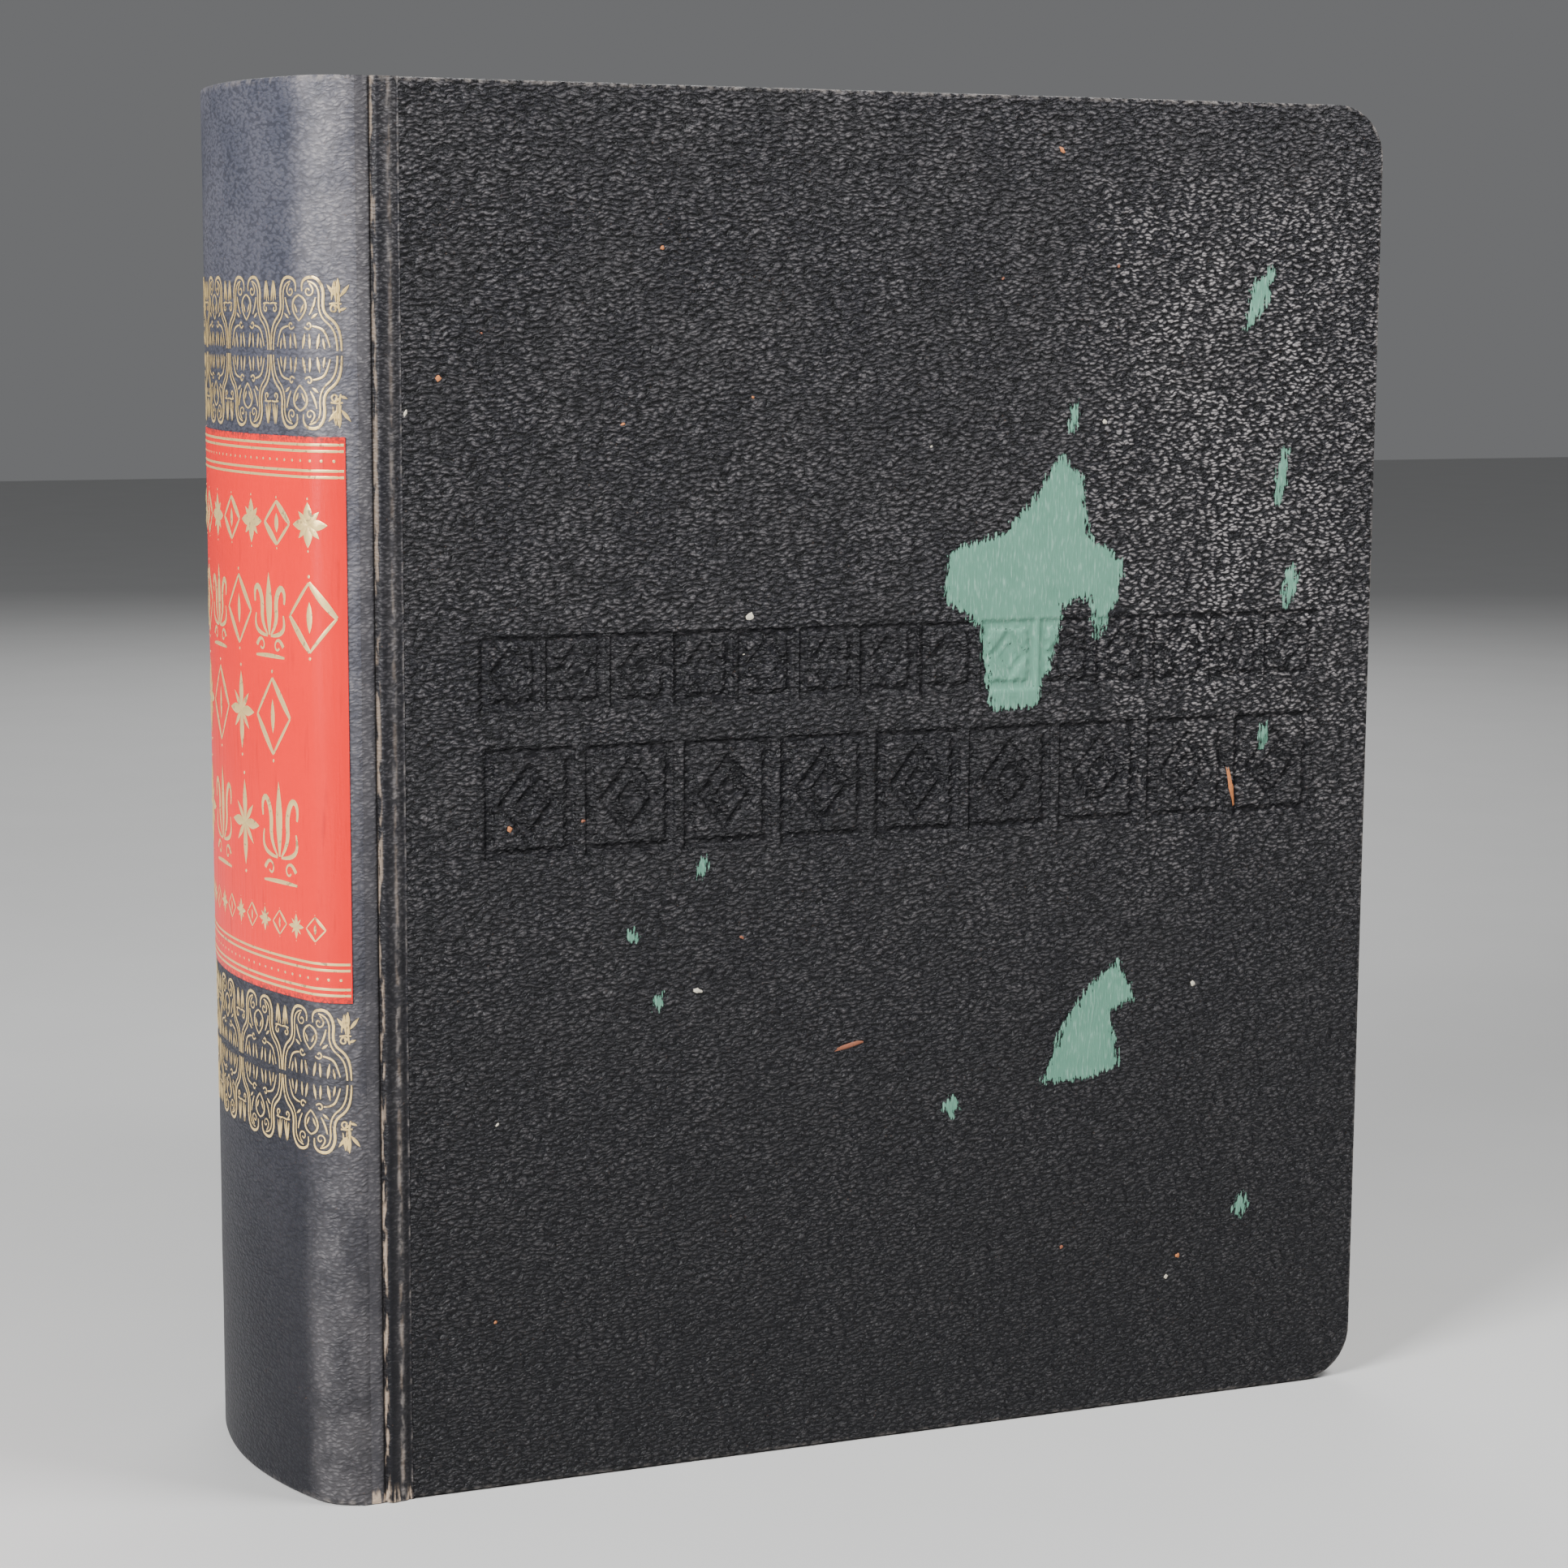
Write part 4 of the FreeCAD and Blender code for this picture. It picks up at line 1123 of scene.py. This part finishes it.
def printed(name, page_width, page_height, ruled):
    """Paper printed with a double border and, where ruled, empty spaces for stamps."""
    finish = Finish(name)
    spot = finish.node("SeparateXYZ", {}, {0: finish.node("UVMap", {"uv_map": "print"})})
    across = spot * page_width
    upright = Value(spot.socket.node.outputs[1]) * page_height

    def frame_line(middle_u, middle_v, half_u, half_v, half_line):
        beyond_u = (across - middle_u).maths("ABSOLUTE") - half_u
        beyond_v = (upright - middle_v).maths("ABSOLUTE") - half_v
        edge = beyond_u.maths("MAXIMUM", beyond_v).maths("ABSOLUTE")
        return 1.0 - edge.between(half_line * 0.7, half_line * 1.3)

    middle = (page_width / 2 + 8, page_height / 2)
    half = (page_width / 2 - 22, page_height / 2 - 20)
    ink = frame_line(*middle, half[0], half[1], 0.55).maths("MAXIMUM", frame_line(
        *middle, half[0] - 2.6, half[1] - 2.6, 0.25))
    if ruled:
        room_u, room_v = 2 * (half[0] - 8) / 3, 2 * (half[1] - 8) / 5
        cell_u = ((across - (middle[0] - half[0] + 8)) / room_u).maths("FRACT") * room_u - room_u / 2
        cell_v = ((upright - (middle[1] - half[1] + 8)) / room_v).maths("FRACT") * room_v - room_v / 2
        beyond_u = cell_u.maths("ABSOLUTE") - room_u * 0.38
        beyond_v = cell_v.maths("ABSOLUTE") - room_v * 0.40
        edge = beyond_u.maths("MAXIMUM", beyond_v).maths("ABSOLUTE")
        inner_u = (across - middle[0]).maths("ABSOLUTE") - (half[0] - 8)
        inner_v = (upright - middle[1]).maths("ABSOLUTE") - (half[1] - 8)
        within = 1.0 - inner_u.maths("MAXIMUM", inner_v).between(-0.2, 0.0)
        ink = ink.maths("MAXIMUM", (1.0 - edge.between(0.15, 0.32)) * within)
    base = finish.mix(
        finish.grain(18.0, 4.0).between(0.4, 0.75) * 0.4, colour(0.80, 0.75, 0.63), colour(0.60, 0.50, 0.36))
    finish.feed(Base_Color=finish.mix(ink * 0.85, base, colour(0.05, 0.055, 0.06)))
    finish.feed(Roughness=0.75)
    finish.bump(finish.grain(0.3, 3.0), 0.03)
    return finish.material


title_low, title_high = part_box("title_leaf")
LEAF_THICKNESS = 0.35 * MM
stub_low, stub_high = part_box("title_leaf_stub")
leaf_stub_depth = -(stub_low.y + stub_high.y) / 2
leaf_free_depth = -title_low.y - 0.2 * MM
leaf_bound_edge = stub_low.x
leaf_fore_edge = title_high.x


def sheet_leaf(name, sign, material, depths, x_end, z_low, z_high, thickness):
    """A single sheet from the bound edge to the fore edge, with a print map on it."""
    across, up = 60, 24
    clear()
    bpy.ops.mesh.primitive_grid_add(x_subdivisions=across, y_subdivisions=up, size=1)
    piece = named(name, material)
    prints = piece.data.uv_layers.new(name="print")
    for loop in piece.data.loops:
        spot = piece.data.vertices[loop.vertex_index].co
        prints.data[loop.index].uv = (spot.x + 0.5, spot.y + 0.5)
    for vertex in piece.data.vertices:
        x = leaf_bound_edge + (vertex.co.x + 0.5) * (x_end - leaf_bound_edge)
        z = z_low + (vertex.co.y + 0.5) * (z_high - z_low)
        swell = ramp(x, flare_start - 1 * MM, flare_end)
        ease = 0.06 * MM * noise.noise(Vector((x * 20, sign, z * 20))) * swell
        vertex.co = (x, sign * (depths[0] + (depths[1] - depths[0]) * swell + ease), z)
    modify(piece, "SOLIDIFY", thickness=thickness, offset=0)
    settle(piece)
    smooth(piece)
    return piece


page_size = ((leaf_fore_edge - leaf_bound_edge) / MM, (title_high.z - title_low.z) / MM)
title_print = printed("title_print", *page_size, False)
album_print = printed("page_print", *page_size, True)
for name, sign, body, cad in (
        ("title_leaf_sheet", -1, "title_leaf", "title_leaf"), ("end_leaf_sheet", 1, "end_leaf", "end_leaf")):
    material = title_print if sign < 0 else paper.material
    sheet = sheet_leaf(
        name, sign, material, (leaf_stub_depth, leaf_free_depth), leaf_fore_edge, title_low.z, title_high.z,
        LEAF_THICKNESS)
    if sign > 0:
        paint(sheet, "wear", page_toning)
    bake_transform(sheet)
    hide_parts(cad, cad + "_stub")

# ---- Printed pages and mounted stamps -----------------------------------------------------------------
# The outermost leaves of the first and second sections, printed with ruled spaces.  A few plain gummed
# stamps are hinged in some of the spaces on the page that the first section uncovers.

page_faces = [
    ("page_front_sheet_1", boundaries[0], 0.10, True), ("page_back_sheet_1", boundaries[1], -0.36, True),
    ("page_front_sheet_2", boundaries[1], 0.02, False), ("page_back_sheet_8", boundaries[8], -0.10, False)]
for name, (bound, free), inset, turns in page_faces:
    sheet = sheet_leaf(
        name, 1, album_print, (bound + inset * MM, free + inset * MM), fore_edge - 0.2 * MM,
        section_low.z + 0.3 * MM, section_high.z - 0.3 * MM, 0.12 * MM)
    if turns:
        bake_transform(sheet)
    else:
        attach(sheet, "root")

STAMP_WIDE = 25 * MM
STAMP_TALL = 30 * MM
TOOTH = 1.25 * MM


def toothed_side(length):
    """The notches along one side: distance along it and how far in."""
    count = round(length / (2 * TOOTH))
    spots = []
    for i in range(count):
        for share, notch in ((0.0, 0.0), (0.3, 0.0), (0.42, 0.45), (0.58, 0.6), (0.74, 0.45), (0.86, 0.0)):
            spots.append(((i + share) * length / count - length / 2, notch * MM))
    return spots


def gummed_stamp(name, ground, figure):
    """One stamp: a toothed outline filled and thickened, with a plain two-colour picture."""
    wide, tall = STAMP_WIDE / 2, STAMP_TALL / 2
    ring = [(along_side, -tall + notch) for along_side, notch in toothed_side(STAMP_WIDE)]
    ring += [(wide - notch, along_side) for along_side, notch in toothed_side(STAMP_TALL)]
    ring += [(-along_side, tall - notch) for along_side, notch in toothed_side(STAMP_WIDE)]
    ring += [(-wide + notch, -along_side) for along_side, notch in toothed_side(STAMP_TALL)]
    finish = Finish(name)
    spot = finish.node("SeparateXYZ", {}, {0: finish.node("UVMap", {"uv_map": "print"})})
    upright = Value(spot.socket.node.outputs[1])
    panel = spot.maths("ABSOLUTE").maths("MAXIMUM", upright.maths("ABSOLUTE") * 0.83)
    disc = (spot * spot + (upright - 2.5) * (upright - 2.5)).maths("SQRT")
    hill = upright + (spot * 0.42).maths("SINE") * 2.2 + 5.0
    picture = (1.0 - disc.between(4.2, 4.5)).maths("MAXIMUM", 1.0 - hill.between(-0.15, 0.15))
    tone = finish.mix(picture, ground, figure)
    finish.feed(Base_Color=finish.mix(panel.between(9.7, 9.9), tone, colour(0.80, 0.77, 0.70)))
    finish.feed(Roughness=0.55)
    clear()
    bpy.ops.mesh.primitive_circle_add(vertices=len(ring), radius=1, fill_type="NGON")
    piece = named(name, finish.material)
    for vertex, (x, z) in zip(piece.data.vertices, ring):
        vertex.co = (x, z, 0)
    prints = piece.data.uv_layers.new(name="print")
    for loop in piece.data.loops:
        spot_on = piece.data.vertices[loop.vertex_index].co
        prints.data[loop.index].uv = (spot_on.x / MM, spot_on.y / MM)
    modify(piece, "SOLIDIFY", thickness=0.1 * MM, offset=1)
    return piece


patterns = [
    gummed_stamp("stamp_blue", colour(0.10, 0.22, 0.42), colour(0.62, 0.66, 0.62)),
    gummed_stamp("stamp_green", colour(0.10, 0.28, 0.16), colour(0.66, 0.60, 0.38)),
    gummed_stamp("stamp_rose", colour(0.48, 0.10, 0.12), colour(0.70, 0.55, 0.42))]
page_face = boundaries[1][1] - 0.04 * MM
page_middle = (leaf_bound_edge + fore_edge) / 2 + 8 * MM
space_wide = 2 * (page_size[0] / 2 - 30) / 3 * MM
space_tall = 2 * (page_size[1] / 2 - 28) / 5 * MM
mounted = [(0, 0, 1), (1, 2, 1), (2, 1, 1), (0, 1, 0), (1, 0, -1), (2, 2, 0)]
for number, (pattern, column, row) in enumerate(mounted, 1):
    stamp = copied(patterns[pattern])
    only(stamp)
    stamp = named("mounted_stamp_%d" % number, patterns[pattern].data.materials[0])
    stamp.rotation_euler = (math.pi / 2, 0.02 * noise.noise(Vector((number, 0.3, 0))), 0)
    stamp.location = (
        page_middle + (column - 1) * space_wide, page_face - 0.02 * MM, HEIGHT / 2 + row * space_tall)
    settle(stamp)
    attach(stamp, "root")
for pattern in patterns:
    bpy.data.objects.remove(pattern)

# ---- Paper stuck to the front cover -------------------------------------------------------------------
# A sea-green sheet once stuck to the cover and tore away.  Its fibrous remains are glued on in patches,
# with chips of paint and a splinter or two beside them.

torn_paper = Finish("green_paper")
strand = torn_paper.grain(0.45, 5.0, (1, 1, 0.16))
cloud = torn_paper.grain(7.0, 4.0)
torn_tone = torn_paper.mix(cloud, colour(0.075, 0.200, 0.140), colour(0.120, 0.275, 0.200))
torn_tone = torn_paper.mix(strand.between(0.5, 0.72) * 0.75, torn_tone, colour(0.22, 0.38, 0.30))
stain = torn_paper.grain(2.4, 5.0).between(0.62, 0.8)
torn_tone = torn_paper.mix(stain * 0.5, torn_tone, colour(0.07, 0.17, 0.125))
tuft = torn_paper.grain(1.1, 4.0, (1, 1, 0.4))
fullness = torn_paper.mark("cover") + (strand - 0.5) * 5.5 + (tuft - 0.5) * 5.0
torn_paper.feed(Base_Color=torn_tone)
torn_paper.feed(Roughness=0.9)
torn_paper.feed(Alpha=fullness.between(-0.2, 0.25))
torn_paper.bump(strand + cloud * 0.6, 0.16)

FLAKE_STEP = 0.45 * MM
FLAKE_MARGIN = 1.6 * MM
FLAKE_FIRMNESS = 0.35


def inside_outline(x, z, outline):
    """Distance inside a polygon, in metres; negative outside."""
    nearest, within = 1.0, False
    for i in range(len(outline)):
        ax, az = outline[i - 1]
        bx, bz = outline[i]
        if (az > z) != (bz > z) and x < ax + (bx - ax) * (z - az) / (bz - az):
            within = not within
        run = ((x - ax) * (bx - ax) + (z - az) * (bz - az)) / ((bx - ax) ** 2 + (bz - az) ** 2)
        run = min(1.0, max(0.0, run))
        nearest = min(nearest, math.hypot(x - ax - run * (bx - ax), z - az - run * (bz - az)))
    return nearest if within else -nearest


def flake(name, outline_mm):
    """A torn patch: a thin sheet over the outline, ragged where it was torn."""
    outline = [(x * MM, z * MM) for x, z in outline_mm]
    low_x, high_x = min(x for x, z in outline) - FLAKE_MARGIN, max(x for x, z in outline) + FLAKE_MARGIN
    low_z, high_z = min(z for x, z in outline) - FLAKE_MARGIN, max(z for x, z in outline) + FLAKE_MARGIN
    across = max(4, round((high_x - low_x) / FLAKE_STEP))
    up = max(4, round((high_z - low_z) / FLAKE_STEP))
    clear()
    bpy.ops.mesh.primitive_grid_add(x_subdivisions=across, y_subdivisions=up, size=1)
    piece = named(name, torn_paper.material)
    for vertex in piece.data.vertices:
        x = low_x + (vertex.co.x + 0.5) * (high_x - low_x)
        z = low_z + (vertex.co.y + 0.5) * (high_z - low_z)
        vertex.co = (x, cover_low.y, z)
    edit(piece)
    bpy.ops.mesh.select_mode(type="VERT")
    bpy.ops.mesh.select_all(action="DESELECT")
    leave_edit()
    for vertex in piece.data.vertices:
        vertex.select = inside_outline(vertex.co.x, vertex.co.z, outline) < -FLAKE_MARGIN
    bpy.ops.object.mode_set(mode="EDIT")
    bpy.ops.mesh.delete(type="VERT")
    leave_edit()
    paint(piece, "cover", lambda point: inside_outline(point.x, point.z, outline) / MM + FLAKE_FIRMNESS)
    for vertex in piece.data.vertices:
        inside = inside_outline(vertex.co.x, vertex.co.z, outline)
        loft = 0.10 * MM * ramp(inside, -FLAKE_MARGIN, 0.6 * MM)
        loft += rumple((vertex.co.x, 7, vertex.co.z), 5 * MM, 0.05 * MM)
        vertex.co.y += cover_relief(vertex.co, "front") * 0.85 - loft
    smooth(piece)
    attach(piece, "front_cover")


def streak_outline(x, z, width, height, lean=0.0):
    """A small upright tear, leaning to the right at its top."""
    rise, half = height / 2, width / 2
    return [
        (x + lean * rise, z + rise), (x + half * 0.8 + lean * rise * 0.3, z + rise * 0.3),
        (x + half, z - rise * 0.2), (x - lean * rise + half * 0.2, z - rise),
        (x - half * 0.9, z - rise * 0.35), (x - half * 0.6, z + rise * 0.4)]


def patch(name, middle, outline):
    """A larger patch, drawn in whole millimetres about its middle."""
    flake(name, [(middle[0] + across, middle[1] + up) for across, up in outline])


patch("torn_paper_large", (43, 192), [
    (6, 28), (11, 23), (13, 10), (22, 4), (20, -4), (16, -12), (14, -3), (7, -4), (5, -14), (0, -27),
    (-10, -27),
    (-13, -9), (-22, -2), (-20, 8), (-8, 11), (0, 19)])
patch("torn_paper_lower", (58, 91), [
    (7, 14), (12, 6), (5, 3), (8, -9), (0, -12), (-11, -12), (-6, 0), (0, 8)])
small_tears = [
    (98, 255, 4, 13, 0.5), (105, 215, 2, 12, 0.2), (108, 190, 3, 9, 0.2), (102, 156, 2, 5, 0.2),
    (52, 229, 1, 6, 0.2), (99, 45, 3, 5, 0.1), (24, 75, 3, 4, 0.2), (-36, 133, 2, 4, 0.2),
    (-46, 104, 2, 3, 0.4), (-52, 119, 2, 2, 0.3)]
for i, tear in enumerate(small_tears, 1):
    flake("torn_paper_small_%02d" % i, streak_outline(*tear))

chip_colours = {
    "ivory": colour(0.68, 0.62, 0.50), "orange": colour(0.55, 0.19, 0.06), "rust": colour(0.30, 0.10, 0.05)}
chips = [
    ("ivory", -25, 187, 2.0, 1.4, 20), ("ivory", -37, 106, 2.2, 1.0, -10),
    ("ivory", -101, 231, 0.6, 1.6, -20), ("orange", -94, 238, 1.4, 1.2, 30),
    ("orange", 48, 287, 1.6, 0.8, -50), ("orange", 94, 144, 1.1, 10.0, 14),
    ("rust", -1, 91, 7.4, 1.1, 12)]
strewn = random.Random(5)
for number in range(18):
    shade = ("ivory", "orange", "rust")[number % 3]
    width = strewn.uniform(0.5, 1.1)
    chips.append((
        shade, strewn.uniform(-85, 110), strewn.uniform(25, 280), width, width * strewn.uniform(0.5, 1.2),
        strewn.uniform(-50, 50)))
for shade, tint in chip_colours.items():
    chip_finish = Finish(shade + "_chip")
    blotch = chip_finish.grain(0.6, 4.0)
    chip_finish.feed(Base_Color=chip_finish.mix(blotch, tint, [part * 0.6 for part in tint[:3]] + [1.0]))
    chip_finish.feed(Roughness=0.7)
    chip_finish.bump(blotch, 0.08)
    made = []
    for number, (of_shade, x, z, width, height, turn) in enumerate(chips):
        if of_shade != shade:
            continue
        clear()
        bpy.ops.mesh.primitive_ico_sphere_add(
            subdivisions=2, radius=0.5, location=(x * MM, cover_low.y, z * MM))
        chip = named("chip", chip_finish.material)
        for vertex in chip.data.vertices:
            vertex.co *= 1 + 0.55 * noise.noise(vertex.co * 3.1 + Vector((number, 0, 0)))
        chip.scale = (width * MM, 0.30 * MM, height * MM)
        chip.rotation_euler = (0, -math.radians(turn), 0)
        bpy.ops.object.transform_apply(location=True, rotation=True, scale=True)
        for vertex in chip.data.vertices:
            vertex.co.y += cover_relief(vertex.co, "front")
        made.append(chip)
    chip_group = joined(made, shade + "_chips", chip_finish.material)
    settle(chip_group)
    smooth(chip_group, 60)
    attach(chip_group, "front_cover")

# ---- Table and lights ---------------------------------------------------------------------------------
# A pale sheet of card, a soft key from the upper left that lights the spine, a small raking light above the
# front cover, a tall strip that draws the highlight down the shoulder, and a wide light behind.

card = Finish("pale_card")
card.feed(Base_Color=card.mix(card.grain(60.0, 3.0), colour(0.56, 0.56, 0.555), colour(0.60, 0.60, 0.595)))
card.feed(Roughness=0.8)
clear()
bpy.ops.mesh.primitive_plane_add(size=8, location=(0, 0, -0.0002))
floor = named("pale_floor", card.material)

world = bpy.data.worlds.new("studio")
bpy.context.scene.world = world
world.use_nodes = True
world.node_tree.nodes["Background"].inputs[0].default_value = (0.80, 0.81, 0.83, 1)
world.node_tree.nodes["Background"].inputs[1].default_value = 0.20


def soft_light(name, place, aim, size, power):
    clear()
    bpy.ops.object.light_add(type="AREA", location=place)
    light = bpy.context.object
    light.name = name
    light.data.shape = "RECTANGLE"
    light.data.size, light.data.size_y = size
    light.data.energy = power
    light.rotation_euler = (Vector(aim) - Vector(place)).to_track_quat("-Z", "Y").to_euler()


soft_light("key_light", (-0.80, -0.48, 0.72), (-0.11, -0.03, 0.24), (0.34, 0.34), 19)
soft_light("top_light", (0.30, -0.31, 0.61), (0.04, -0.045, 0.20), (0.24, 0.24), 4.6)
soft_light("strip_light", (-0.98, -0.30, 0.40), (-0.12, -0.04, 0.25), (0.12, 0.45), 4.2)
soft_light("rim_light", (0.5, 1.4, 1.1), (0, 0, 0.15), (1.0, 0.8), 12)

CAMERA_PLACE = Vector((-0.2927, -0.7172, 0.2547))
CAMERA_TURN = math.radians(22.26)
CAMERA_DIP = math.radians(8.18)
CAMERA_ROLL = math.radians(-0.29)
LENS_MM = 77.66
SENSOR_MM = 36
clear()
bpy.ops.object.camera_add(location=CAMERA_PLACE)
camera = bpy.context.object
camera.name = "camera"
camera.data.lens = LENS_MM
camera.data.sensor_width = SENSOR_MM
camera.rotation_euler = (math.pi / 2 - CAMERA_DIP, CAMERA_ROLL, -CAMERA_TURN)
bpy.context.scene.camera = camera
